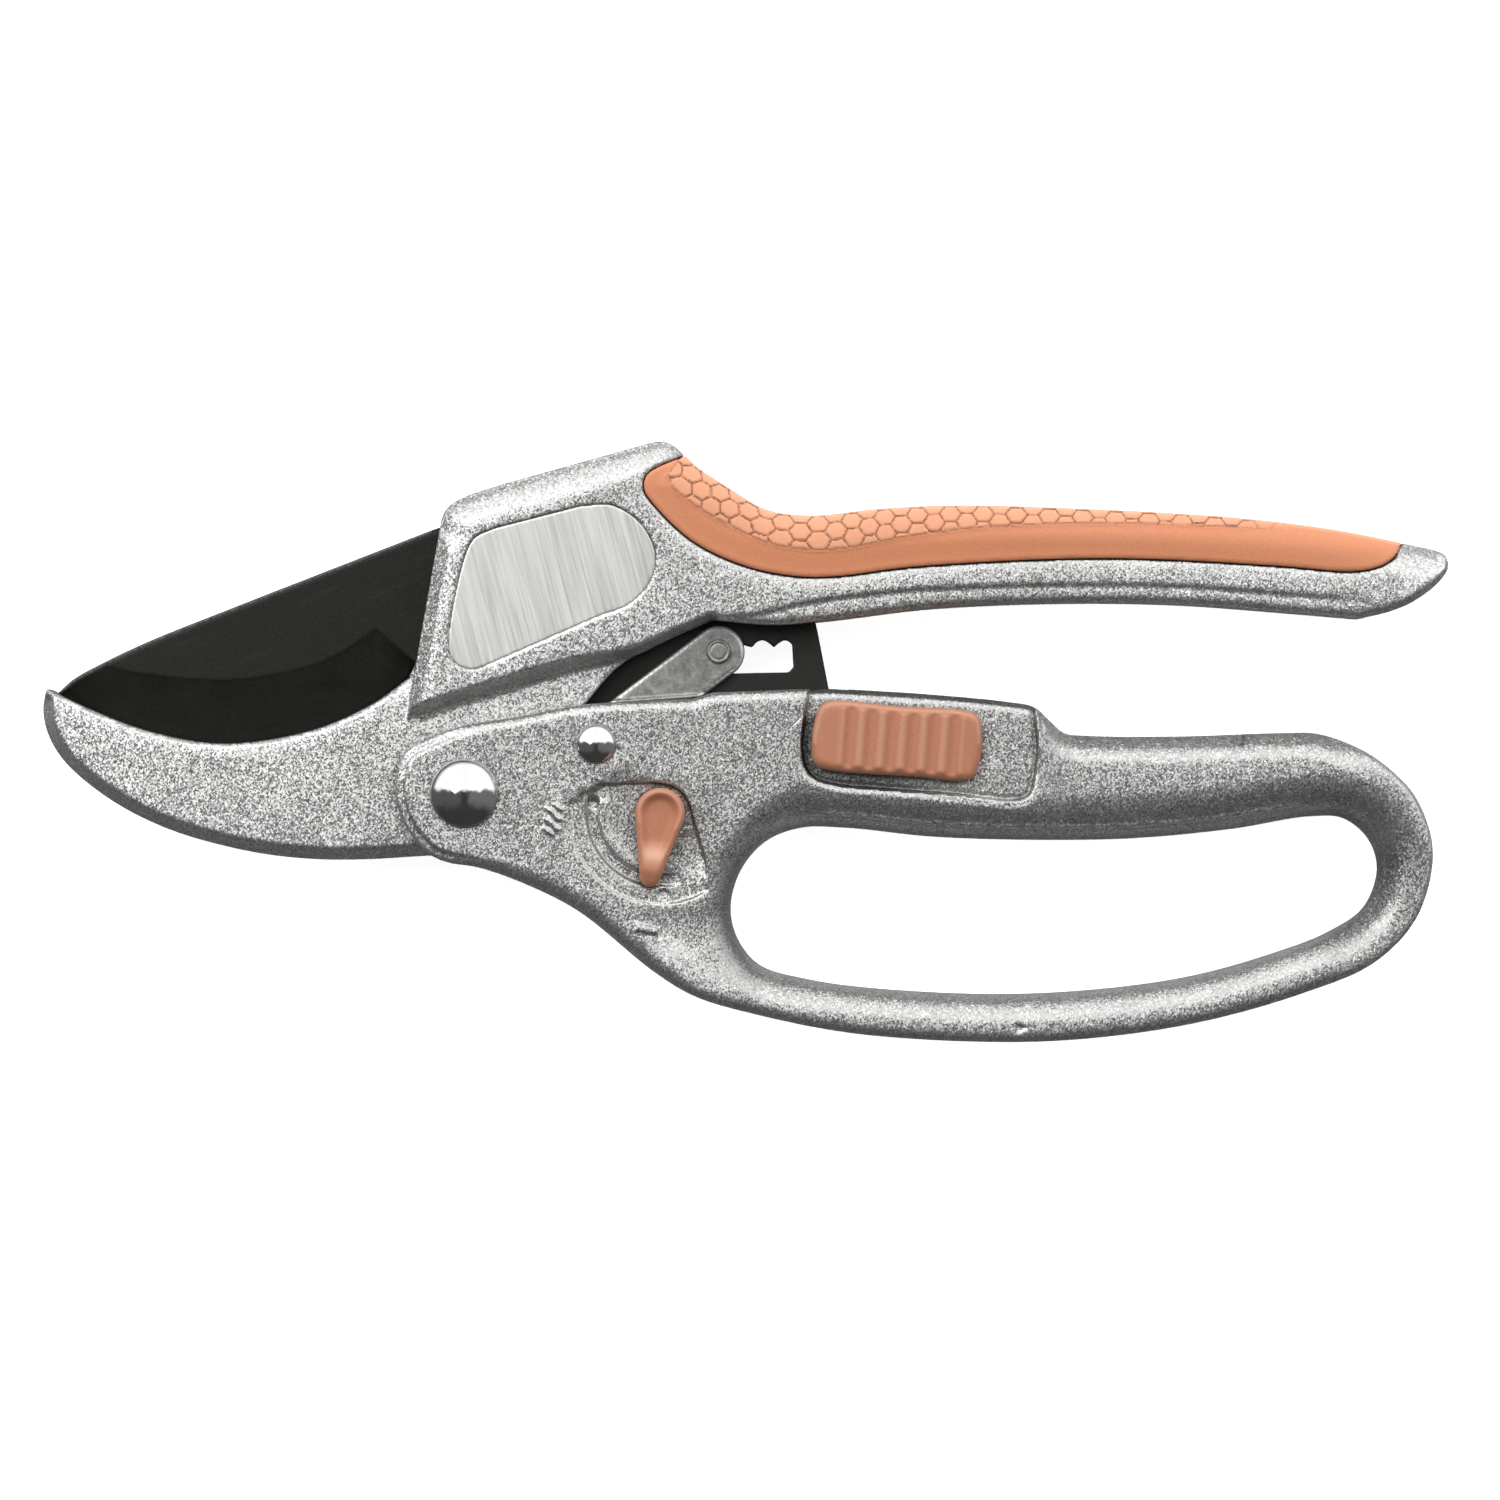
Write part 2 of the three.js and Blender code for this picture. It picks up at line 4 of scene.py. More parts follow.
import bpy
import numpy as np
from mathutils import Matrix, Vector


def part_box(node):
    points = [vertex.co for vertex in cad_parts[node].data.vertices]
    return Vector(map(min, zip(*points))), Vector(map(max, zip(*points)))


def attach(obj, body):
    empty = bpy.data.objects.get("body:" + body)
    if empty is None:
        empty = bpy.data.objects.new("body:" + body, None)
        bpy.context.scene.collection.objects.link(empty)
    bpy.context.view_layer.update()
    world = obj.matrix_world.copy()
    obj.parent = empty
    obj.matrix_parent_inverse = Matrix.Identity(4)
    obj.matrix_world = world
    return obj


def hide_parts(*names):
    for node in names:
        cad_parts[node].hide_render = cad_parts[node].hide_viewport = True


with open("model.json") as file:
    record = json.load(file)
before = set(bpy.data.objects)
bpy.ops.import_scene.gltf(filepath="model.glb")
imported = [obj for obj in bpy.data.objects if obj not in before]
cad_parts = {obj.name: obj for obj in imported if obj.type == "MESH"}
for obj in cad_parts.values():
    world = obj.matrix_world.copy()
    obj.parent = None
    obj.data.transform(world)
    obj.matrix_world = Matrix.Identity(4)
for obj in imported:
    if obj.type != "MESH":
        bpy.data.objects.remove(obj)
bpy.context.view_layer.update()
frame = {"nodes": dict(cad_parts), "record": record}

import openvdb
from mathutils import Vector

# Shapes are drawn in millimetres in the plane of the tool, with the main pivot at 0, 0 and the
# middle of the blade at height 0, and go into the shared frame through ORIGIN.
MM = 0.001
joints = {joint["name"]: joint for joint in frame["record"]["behaviour"]["joints"]}
ORIGIN = Vector(joints["handle_swing"]["pos_m"])


def drawn(joint):
    """A joint's place in the drawing's own millimetres."""
    place = (Vector(joints[joint]["pos_m"]) - ORIGIN) / MM
    return place.x, place.y


MAIN_PIVOT = (0, 0)
LINK_PIVOT = drawn("link_swing")
BLADE_PIVOT = drawn("blade_swing")
SELECTOR_PIVOT = drawn("selector_turn")
LINK_PIN = (37.9, 21.2)
LOCK_TILT = math.atan2(joints["lock_slide"]["axis"][1], joints["lock_slide"]["axis"][0])


def height(node, end):
    """The lowest (end 0) or highest (end 1) point of a CAD node above the blade's middle."""
    return (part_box(node)[end][2] - ORIGIN.z) / MM


BODY_HALF = height("loop_handle", 1)
BLADE_HALF = height("blade", 1)
GRIP_HALF = height("handle_grip", 1)
LUG_HALF = 5.0
CHEEK_INNER = 5.4
LOOP_HALF = 7.2
SLOT_HALF = BLADE_HALF + 0.4
BADGE_FACE = 8.8
LOCK_FLOOR = 6.9
GRIP_CORE_HALF = 7.0
SPRING_BAY_HALF = 2.6
MAIN_SHANK = 3.0
LINK_SHANK = 1.9
PIN_RADIUS = 4.0
BUSH_RADIUS = 4.2
GAP = 0.05  # between pieces that fit together

# ---- Outlines: (x, y) lies on a smooth stretch, (x, y, CORNER) is a corner ----
CORNER = 1

JAW_TOP = [(-62.5, 15.6, CORNER), (-61.2, 15.0), (-55.9, 12.5), (-47.1, 9.25), (-36.1, 7.45),
           (-22.9, 9.45), (-14.1, 13.25), (-8.5, 17.2, CORNER)]
JAW_BOTTOM = [(0, -9.5), (-5.4, -9.4), (-14.4, -9.9), (-23, -9.85), (-32.4, -8.7), (-44.4, -5.4),
              (-53.4, -0.8), (-60.2, 4.95), (-62.7, 9.4), (-63.2, 13.4)]
JAW_AND_LUG = JAW_TOP + [
    (-4, 26, CORNER), (34, 30, CORNER), (37.4, 26.3, CORNER), (28.3, 22.2), (22.9, 18.9),
    (18, 13.3), (16, 10), (12.5, 4), (9.3, -1.6), (6.7, -6.7)] + JAW_BOTTOM

HEAD_LEFT = [(-8.6, 10.35, CORNER), (-8.3, 12.4), (-7.05, 20.6), (-3.7, 39.5, CORNER)]
HEAD_TOP = [(-3.7, 39.5, CORNER), (-3.3, 41.5), (-2.2, 43.0), (0.2, 44.35), (5.8, 46.2, CORNER),
            (27.6, 52.3, CORNER), (29.8, 52.55), (31.6, 51.6), (33.6, 49.6), (39.6, 45.4),
            (45, 42.3), (51.5, 41.4), (62, 42.4), (73.3, 42.9), (92.1, 42.4), (114.6, 41.1),
            (129.6, 39.4), (144.6, 36.4, CORNER)]
HANDLE_END = [(144.6, 36.4, CORNER), (146.4, 35.5), (146.8, 33.6), (145.4, 31.5), (141.6, 28.6),
              (138, 27.1), (134, 26.1, CORNER)]
HANDLE_UNDER = [(134, 26.1, CORNER), (122.1, 27.1), (107, 28.2), (90, 28.45), (69.6, 27.6),
                (54.6, 25.8), (46, 25.1), (36.9, 25.9, CORNER)]
RIDGE_FOOT = [(36.9, 25.9, CORNER), (31.1, 23.3), (25.1, 20.5), (15.6, 18.2), (4.7, 14.9),
              (-2, 12.9), (-8.6, 10.35, CORNER)]
HEAD_AND_HANDLE = (HEAD_LEFT[:-1] + HEAD_TOP[:-1] + HANDLE_END[:-1] + HANDLE_UNDER[:-1]
                   + RIDGE_FOOT[:-1])

GRIP_TOP = [(33.0, 50.4, CORNER), (34.4, 49.0), (39.6, 45.5), (45, 42.4), (51.5, 41.5),
            (62, 42.5), (73.3, 43), (92.1, 42.5), (114.6, 41.2), (129.6, 39.4),
            (139.9, 37.4, CORNER)]
GRIP_LOW = [(139.9, 37.4, CORNER), (138.6, 35.2), (136.4, 33.8), (132.5, 33.1), (121.4, 33.9),
            (103, 34.9), (88.8, 34.95), (66.3, 33.7), (56, 32.4), (50.2, 32.3), (42.2, 33.8),
            (34.1, 37.6), (28.1, 43.3), (26.8, 45.4), (27.2, 47.4), (33.0, 50.4, CORNER)]
GRIP = GRIP_TOP[:-1] + GRIP_LOW[:-1]
GRIP_CORE = [(24.5, 43, CORNER), (25, 48, CORNER), (31.9, 49.2, CORNER), (35.4, 46.2),
             (40, 42.6), (46, 39.8), (52, 39.2), (73.3, 40.7), (100, 39.9), (130, 37.6),
             (141.2, 36.6, CORNER), (141.2, 28.5, CORNER), (70, 29.5), (24.5, 33, CORNER)]

BADGE = [(0.3, 35.5), (1.7, 38), (4.6, 39.4, CORNER), (17.4, 42.7, CORNER), (22, 42.8),
         (26.4, 39.9), (28.4, 35.2), (27.4, 31.3), (24.4, 28.2), (20.2, 26.6, CORNER),
         (4.2, 19.6, CORNER), (1.2, 18.6), (-1.3, 19.5), (-2.2, 21.8)]

BLADE_BACK = [(-61.2, 14.9, CORNER), (-58.9, 17.0), (-54.4, 19.5), (-47.4, 22.8), (-35.4, 27.6),
              (-23.4, 32.3), (-5.4, 39.3, CORNER)]
BLADE_EDGE = [(-7.5, 19.0, CORNER), (-8.6, 16.3), (-14.2, 12.7), (-23, 8.9), (-36.1, 6.95),
              (-47.3, 8.7), (-56.1, 12.0), (-61.2, 14.9, CORNER)]
BLADE = BLADE_BACK + [
    (3, 42), (12, 43.2), (21, 42), (27.5, 37.5), (32.5, 31.6), (38, 28.4), (44, 28, CORNER),
    (51.8, 28, CORNER), (52.7, 24.4, CORNER), (54.6, 14.6, CORNER), (42, 14.1), (33, 13.6),
    (26, 12.4), (20, 11.8), (13, 13), (6, 15.4), (-2, 17.8)] + BLADE_EDGE[:-1]
BEVEL_LINE = [(-61.2, 14.9, CORNER), (-54.1, 19.1, CORNER), (-49.3, 18), (-40.5, 17.05),
              (-33.9, 17), (-27.3, 18), (-22.9, 19.15), (-18.5, 21.1), (-13.4, 24.6, CORNER),
              (-7.5, 19.4, CORNER)]
TAIL_WINDOW = [(35.6, 20.4), (36, 22.8), (38, 23.8), (40.4, 22.9), (41.6, 22.2, CORNER),
               (42.9, 21.8, CORNER), (43.6, 22.6), (44.5, 22.9), (45.4, 22.5),
               (46.2, 21.8, CORNER), (47.1, 22.6), (48, 22.9), (48.9, 22.3, CORNER),
               (49.1, 18.9, CORNER), (48.4, 18.1, CORNER), (38.2, 17.9, CORNER)]
BLADE_SLOT = [(-61.7, 30, CORNER), (-61.7, 14.4, CORNER), (-56.4, 11.4), (-47.5, 8.1),
              (-36.1, 6.4), (-23, 8.3), (-14.2, 12), (-8.8, 15.2, CORNER), (-6, 17.4, CORNER),
              (2, 15, CORNER), (8.5, 11.3), (17, 9.4), (22, 9.9, CORNER), (60, 9.9, CORNER),
              (60, 24, CORNER), (54, 24, CORNER), (54, 28.7, CORNER), (41, 28.8, CORNER),
              (36, 30.4, CORNER), (31.5, 36.6, CORNER), (24, 43, CORNER), (17, 45.2, CORNER),
              (12.5, 46.4, CORNER), (12.5, 60, CORNER), (-20, 60, CORNER)]

LOOP_OUTSIDE = [
    (-5.6, 8.1), (-0.7, 9.9), (8.5, 11.5), (17.7, 13.2), (34.4, 14.1, CORNER), (36.9, 15, CORNER),
    (54.1, 15.7, CORNER), (69, 14.8), (81.5, 13.6), (85, 12.9), (87.3, 10.9), (89.6, 9.0),
    (93, 8.6), (107.1, 8.5), (122, 9), (127.5, 8.9), (133.3, 6.9), (137.9, 3.9), (142.3, -0.9),
    (144.7, -8.9), (142.3, -18.6), (136, -25.3), (125.8, -29.7), (110.8, -34), (95.8, -36.4),
    (80.8, -37.2), (58.3, -35.9), (43.4, -33), (34.3, -30.3), (28.3, -26.7), (17.1, -17.7),
    (9.6, -13.8), (2.1, -11.1), (-2.6, -10.3), (-5.4, -9), (-8.4, -5.6), (-10.1, -1.4),
    (-10, 3.4), (-8.8, 6.3)]
FINGER_HOLE = [
    (39.7, -17.3), (41.2, -11.6), (45, -7.2), (50.2, -5.2), (57, -5.2), (69.6, -6.5),
    (84.6, -7), (99.6, -6.8), (114.6, -5.4), (126.5, -3.5), (131.6, -3.8), (135.3, -6.9),
    (136.6, -11.4), (134.6, -17.1), (129.6, -20.7), (122.1, -23.7), (107.1, -27.8),
    (84.6, -30.1), (62.1, -29.4), (50.9, -27.9), (44, -25.8), (40.8, -22)]
CHEEK_POCKET = [
    (-24, 34, CORNER), (-24, -24, CORNER), (1.4, -24, CORNER), (2.4, -9.9, CORNER), (6.9, -7.4),
    (9.85, -2.6, CORNER), (13.4, 3, CORNER), (16.4, 3.1), (19.7, 2.8), (24.4, 5.4),
    (29.6, 9.4, CORNER), (57, 9.4, CORNER), (57, 34, CORNER)]
CAM_POCKET = [(19.6, 9.8, CORNER), (19.6, 1.8, CORNER), (24.9, -2, CORNER), (24.9, -7.2, CORNER),
              (33.6, -7.2, CORNER), (33.6, 9.8, CORNER)]
LOCK_POCKET = [(54.5, 13.6, CORNER), (54.5, 3.8, CORNER), (84, 3.8, CORNER), (84, 9.5, CORNER),
               (68.6, 9.5, CORNER), (68.6, 13.6, CORNER)]
LOCK_RECESS = [(51.7, 22, CORNER), (51.3, 15), (50.7, 11.5), (50.3, 6.9), (50.8, 3.9),
               (52.2, 2.2), (55.5, 1.35), (63, 0.7), (73.7, -0.1), (82.3, -0.9), (84.1, -0.2),
               (84.9, 2.2), (85.4, 7), (84.9, 12, CORNER), (84.9, 22, CORNER)]
LOCK_BUTTON = [(54.6, 13.75), (53.1, 13.0), (52.2, 10.6), (51.8, 7.6), (52.1, 4.7), (53.4, 3.7),
               (68.2, 2.35, CORNER), (74.4, 1.85), (75.9, 2.4), (76.8, 4.4), (77.2, 8),
               (76.9, 10.9), (75.7, 12.05), (64.8, 12.95, CORNER)]
SELECTOR_EDGE = [(19.3, 1.4, CORNER), (29.4, 1.6), (32.2, 0.6), (33.6, -1.4), (34.6, -5),
                 (36.2, -10.6, CORNER)]
SELECTOR_TIP = (27.7, -12.5)


# ---- Outline and grid arithmetic ----
def stretch(points, step, before=None, after=None):
    """A centripetal curve through the points, as short straight pieces."""
    points = np.array(points, float)
    if len(points) == 2:
        return points
    before = 2 * points[0] - points[1] if before is None else before
    after = 2 * points[-1] - points[-2] if after is None else after
    knots = np.vstack([before, points, after])
    line = []
    for p0, p1, p2, p3 in zip(knots, knots[1:], knots[2:], knots[3:]):
        a, b, c = (max(np.linalg.norm(q - p) ** 0.5, 1e-6)
                   for p, q in ((p0, p1), (p1, p2), (p2, p3)))
        start = ((p1 - p0) / a - (p2 - p0) / (a + b) + (p2 - p1) / b) * b
        end = ((p2 - p1) / b - (p3 - p1) / (b + c) + (p3 - p2) / c) * b
        count = max(2, int(np.linalg.norm(p2 - p1) / step))
        for t in np.arange(count) / count:
            line.append(p1 * (2 * t**3 - 3 * t**2 + 1) + start * (t**3 - 2 * t**2 + t)
                        + p2 * (3 * t**2 - 2 * t**3) + end * (t**3 - t**2))
    line.append(knots[-2])
    return np.array(line)


def path(points, step=0.8):
    """The line through an open list of points, with its corners kept."""
    runs, run = [], [points[0][:2]]
    for point in points[1:]:
        run.append(point[:2])
        if len(point) > 2:
            runs.append(run)
            run = [point[:2]]
    if len(run) > 1:
        runs.append(run)
    lines = [stretch(piece, step) for piece in runs]
    return np.concatenate([line[:-1] for line in lines] + [lines[-1][-1:]])


def closed(points, step=0.8):
    """The line round a closed list of points."""
    corners = [i for i, point in enumerate(points) if len(point) > 2]
    if not corners:
        return stretch(points + points[:1], step, points[-1], points[1])[:-1]
    return path(points[corners[0]:] + points[:corners[0] + 1], step)[:-1]


class Sheet:
    """A grid of points over a rectangle of the drawing."""

    def __init__(self, outline, pitch, margin=1.5):
        low, high = outline.min(0) - margin, outline.max(0) + margin
        self.pitch = pitch
        self.low = low
        self.x, self.y = np.meshgrid(np.arange(low[0], high[0], pitch),
                                     np.arange(low[1], high[1], pitch), indexing="ij")

    def away(self, line, along=False):
        """Distance to an open line, and the distance run along it to the nearest point."""
        best = np.full(self.x.shape, 1e9)
        ran = np.zeros(self.x.shape)
        total = 0.0
        for (ax, ay), (bx, by) in zip(line, line[1:]):
            ex, ey = bx - ax, by - ay
            square = max(ex * ex + ey * ey, 1e-12)
            t = np.clip(((self.x - ax) * ex + (self.y - ay) * ey) / square, 0, 1)
            gap = (self.x - ax - ex * t) ** 2 + (self.y - ay - ey * t) ** 2
            if along:
                ran = np.where(gap < best, total + t * math.sqrt(square), ran)
                total += math.sqrt(square)
            best = np.minimum(best, gap)
        return (np.sqrt(best), ran) if along else np.sqrt(best)

    def inside(self, line):
        """Signed distance to a closed line, negative inside it."""
        ring = np.vstack([line, line[:1]])
        odd = np.zeros(self.x.shape, bool)
        for (ax, ay), (bx, by) in zip(ring, ring[1:]):
            if ay != by:
                crossing = ax + (self.y - ay) * (bx - ax) / (by - ay)
                odd ^= ((ay > self.y) != (by > self.y)) & (self.x < crossing)
        return self.away(ring) * np.where(odd, -1, 1)

    def disc(self, centre, radius):
        return np.hypot(self.x - centre[0], self.y - centre[1]) - radius

    def box(self, centre, long, high, tilt=0.0):
        c, s = math.cos(tilt), math.sin(tilt)
        u = np.abs((self.x - centre[0]) * c + (self.y - centre[1]) * s) - long / 2
        v = np.abs((self.y - centre[1]) * c - (self.x - centre[0]) * s) - high / 2
        return np.maximum(u, v)

    def steepness(self, surface):
        """How much longer a step up the surface is than a step across it."""
        gx, gy = np.gradient(surface, self.pitch)
        return np.sqrt(1 + gx * gx + gy * gy)

    def soften(self, surface, radius):
        """The surface with its creases rounded over about that radius."""
        count = max(1, int(2 * radius / self.pitch))
        weights = np.exp(-0.5 * (np.arange(-count, count + 1) * self.pitch / radius) ** 2)
        weights /= weights.sum()
        for axis in (0, 1):
            pad = [(count, count) if a == axis else (0, 0) for a in (0, 1)]
            wide = np.pad(surface, pad, mode="edge")
            surface = sum(w * np.take(wide, range(i, i + surface.shape[axis]), axis)
                          for i, w in enumerate(weights))
        return surface


def ramp(value, low, high):
    """0 below low, 1 above high and a smooth rise between."""
    t = np.clip((value - low) / (high - low), 0, 1)
    return t * t * (3 - 2 * t)


def fade(value, low, high):
    """1 below low, 0 above high and a smooth drop between."""
    return 1 - ramp(value, low, high)


def hump(value, middle, width):
    """A smooth bump of height 1."""
    return np.exp(-((value - middle) / width) ** 2)


def fall(inwards, radius, depth):
    """How far a rounded edge has dropped at a distance inwards from it."""
    q = np.clip(1 - inwards / radius, 0, 1)
    return depth * (1 - np.sqrt(1 - q * q))


def shoulder(inwards, band, steep, width, lean):
    """The drop of an edge with a steep band, then a crease and a curve that starts at a lean."""
    curve = lean * width / 2 * np.clip(1 - (inwards - band) / width, 0, 1) ** 2
    return steep * np.clip(band - inwards, 0, None) + curve


def blend(a, b, k):
    """The union of two solids with a fillet of about k."""
    h = np.clip(0.5 + 0.5 * (b - a) / k, 0, 1)
    return b * (1 - h) + a * h - k * h * (1 - h)


def cut(a, b, k=0.0):
    """Solid a without solid b, with the new edge rounded by about k."""
    return np.maximum(a, -b) if k == 0 else -blend(-a, b, k)


def belt(sheet, centre_a, radius_a, centre_b, radius_b):
    """Signed distance to the shape that wraps two circles."""
    ax, ay = centre_a
    bx, by = centre_b
    length = math.hypot(bx - ax, by - ay)
    ux, uy = (bx - ax) / length, (by - ay) / length
    along = (sheet.x - ax) * ux + (sheet.y - ay) * uy
    side = np.abs((sheet.y - ay) * ux - (sheet.x - ax) * uy)
    lean = (radius_a - radius_b) / length
    rise = math.sqrt(1 - lean * lean)
    flank = side * rise + along * lean - radius_a
    reach = along * rise - side * lean
    ends = np.where(reach < 0, np.hypot(along, side) - radius_a,
                    np.hypot(along - length, side) - radius_b)
    return np.where((reach > 0) & (reach < length * rise), flank, ends)


# ---- Meshes from solids ----
def placed(name, data):
    """A new object in the scene, for a mesh, a lamp or a camera."""
    made = bpy.data.objects.new(name, data)
    bpy.context.scene.collection.objects.link(made)
    return made


def faceted(name, points, faces):
    mesh = bpy.data.meshes.new(name)
    mesh.from_pydata(points, [], faces)
    mesh.update()
    return placed(name, mesh)


def smoothed(piece):
    piece.data.polygons.foreach_set("use_smooth", [True] * len(piece.data.polygons))
    return piece


def thin_out(piece, share):
    """Leaves about this share of a piece's triangles."""
    piece.modifiers.new("thin_out", "DECIMATE").ratio = share
    bpy.context.view_layer.update()
    graph = bpy.context.evaluated_depsgraph_get()
    thinned = bpy.data.meshes.new_from_object(piece.evaluated_get(graph))
    piece.modifiers.clear()
    full = piece.data
    piece.data = thinned
    bpy.data.meshes.remove(full)
    thinned.name = piece.name


BAND = 1.6  # the solids' distances are kept within this many millimetres


def cast(name, sheet, low, high, solid_at, triangles):
    """The mesh of a solid given by its signed distance at each height, thinned to a budget."""
    margin = 2.5 * sheet.pitch
    levels = np.arange(low - margin, high + margin, sheet.pitch)
    volume = np.empty(sheet.x.shape + (len(levels),), np.float32)
    for i, z in enumerate(levels):
        volume[:, :, i] = np.clip(solid_at(z), -BAND, BAND)
    grid = openvdb.FloatGrid(BAND)
    grid.copyFromArray(volume)
    points, quads = grid.convertToQuads(0.0)
    corner = np.array([sheet.low[0], sheet.low[1], levels[0]])
    points = (points * sheet.pitch + corner) * MM + np.array(ORIGIN)
    a, b, c = (points[quads[:, i]] for i in (0, 1, 2))
    inside_out = (a * np.cross(b, c)).sum() <= 0
    if inside_out:
        quads = quads[:, ::-1]
    mesh = bpy.data.meshes.new(name)
    mesh.vertices.add(len(points))
    mesh.vertices.foreach_set("co", points.ravel())
    mesh.loops.add(quads.size)
    mesh.loops.foreach_set("vertex_index", quads.astype(np.int32).ravel())
    mesh.polygons.add(len(quads))
    mesh.polygons.foreach_set("loop_start", np.arange(len(quads), dtype=np.int32) * 4)
    mesh.update(calc_edges=True)
    mesh.validate()
    piece = placed(name, mesh)
    full = 2 * len(quads)
    if full > triangles:
        thin_out(piece, triangles / full)
    return smoothed(piece)


def under_points(piece, sheet):
    """Where each of a mesh's points lies on a sheet, and its height."""
    points = np.empty(len(piece.data.vertices) * 3)
    piece.data.vertices.foreach_get("co", points)
    spots = (points.reshape(-1, 3) - np.array(ORIGIN)) / MM
    columns = ((spots[:, 0] - sheet.low[0]) / sheet.pitch).round().astype(int)
    rows = ((spots[:, 1] - sheet.low[1]) / sheet.pitch).round().astype(int)
    at = columns.clip(0, sheet.x.shape[0] - 1), rows.clip(0, sheet.x.shape[1] - 1)
    return at, spots[:, 2]


def mark(piece, name, values):
    """Gives a mesh a painted value at each point, for its material to read."""
    layer = piece.data.attributes.new(name, "FLOAT", "POINT")
    layer.data.foreach_set("value", values.astype(np.float32))


def turned(name, centre, profile, sides=96):
    """A turned piece on an axis along Z: profile is (radius, z) from one end to the other."""
    points, faces = [], []
    rings = []
    for radius, z in profile:
        if radius == 0:
            rings.append([len(points)])
            points.append(Vector((centre[0], centre[1], z)) * MM + ORIGIN)
            continue
        rings.append(list(range(len(points), len(points) + sides)))
        for i in range(sides):
            angle = 2 * math.pi * i / sides
            spot = Vector((centre[0] + radius * math.cos(angle),
                           centre[1] + radius * math.sin(angle), z))
            points.append(spot * MM + ORIGIN)
    for low, high in zip(rings, rings[1:]):
        for i in range(sides):
            j = (i + 1) % sides
            if len(low) == 1:
                faces.append((low[0], high[j], high[i]))
            elif len(high) == 1:
                faces.append((low[i], low[j], high[0]))
            else:
                faces.append((low[i], low[j], high[j], high[i]))
    return smoothed(faceted(name, points, faces))


# ---- Materials ----
BRUSH_LEAN = math.radians(15)


class Wiring:
    """A node tree being wired up, with its nodes made by short calls."""

    def __init__(self, tree, coordinate):
        self.tree = tree
        self.place = self.node("ShaderNodeTexCoord").outputs[coordinate]

    def node(self, kind, sources=None, **settings):
        """A new node, its inputs fed with constants or with other nodes' outputs."""
        node = self.tree.nodes.new(kind)
        for key, value in settings.items():
            setattr(node, key, value)
        for socket, source in (sources or {}).items():
            self.wire(source, node, socket)
        return node

    def wire(self, source, node, socket):
        if isinstance(source, bpy.types.NodeSocket):
            self.tree.links.new(source, node.inputs[socket])
        else:
            node.inputs[socket].default_value = source

    def noise(self, scale, detail=3.0, rough=0.5, place=None):
        sources = {"Scale": scale, "Detail": detail, "Roughness": rough}
        sources["Vector"] = place or self.place
        return self.node("ShaderNodeTexNoise", sources).outputs["Fac"]

    def painted(self, name):
        """A value painted on the mesh by mark()."""
        return self.node("ShaderNodeAttribute", attribute_name=name).outputs["Fac"]

    def math(self, operation, a, b=0.0, clamp=False):
        return self.node("ShaderNodeMath", {0: a, 1: b}, operation=operation,
                         use_clamp=clamp).outputs[0]

    def vector(self, operation, a, b=(0, 0, 0)):
        second = "Scale" if operation == "SCALE" else 1
        return self.node("ShaderNodeVectorMath", {0: a, second: b}, operation=operation).outputs[0]

    def colours(self, value, stops):
        node = self.node("ShaderNodeValToRGB", {"Fac": value})
        while len(node.color_ramp.elements) < len(stops):
            node.color_ramp.elements.new(0.5)
        for element, (position, colour) in zip(node.color_ramp.elements, stops):
            element.position = position
            element.color = (*colour, 1)
        return node.outputs["Color"]

    def span(self, value, from_low, from_high, low=0.0, high=1.0, shape="LINEAR"):
        """The value stretched from one range to another, and held at its ends."""
        sources = {0: value, 1: from_low, 2: from_high, 3: low, 4: high}
        return self.node("ShaderNodeMapRange", sources, interpolation_type=shape).outputs[0]

    def mix(self, amount, a, b):
        a, b = ((*tone, 1) if isinstance(tone, tuple) else tone for tone in (a, b))
        return self.node("ShaderNodeMix", {"Factor": amount, 6: a, 7: b},
                         data_type="RGBA").outputs[2]

    def crevice(self, reach, darkest):
        """Painted shade: 1 on open surfaces, falling to the darkest value in corners and gaps."""
        node = self.node("ShaderNodeAmbientOcclusion", {"Distance": reach}, samples=8)
        return self.span(node.outputs["AO"], 0.25, 0.85, darkest, 1.0)

    def bump(self, value, strength, distance):
        sources = {"Strength": strength, "Distance": distance, "Height": value}
        return self.node("ShaderNodeBump", sources).outputs["Normal"]

    def stretched(self, scale, turn):
        """The place in a frame turned by an angle, drawn out by these factors along its axes."""
        sources = {"Scale": scale, "Rotation": (0, 0, turn), "Vector": self.place}
        return self.node("ShaderNodeMapping", sources, vector_type="TEXTURE").outputs["Vector"]


class Paint(Wiring):
    """A material: constants for its shader first, then colour, roughness and bump from nodes."""

    def __init__(self, name, **constants):
        self.material = bpy.data.materials.new(name)
        self.material.use_nodes = True
        super().__init__(self.material.node_tree, "Object")
        self.shader = self.tree.nodes["Principled BSDF"]
        for key, value in constants.items():
            self.wire(value, self.shader, key.replace("_", " "))

    def done(self, colour, roughness=None, normal=None):
        sources = {"Base Color": colour, "Roughness": roughness, "Normal": normal}
        for socket, source in sources.items():
            if source is not None:
                self.wire(source, self.shader, socket)
        return self.material


def grey(value):
    return (value, value, value * 0.985)


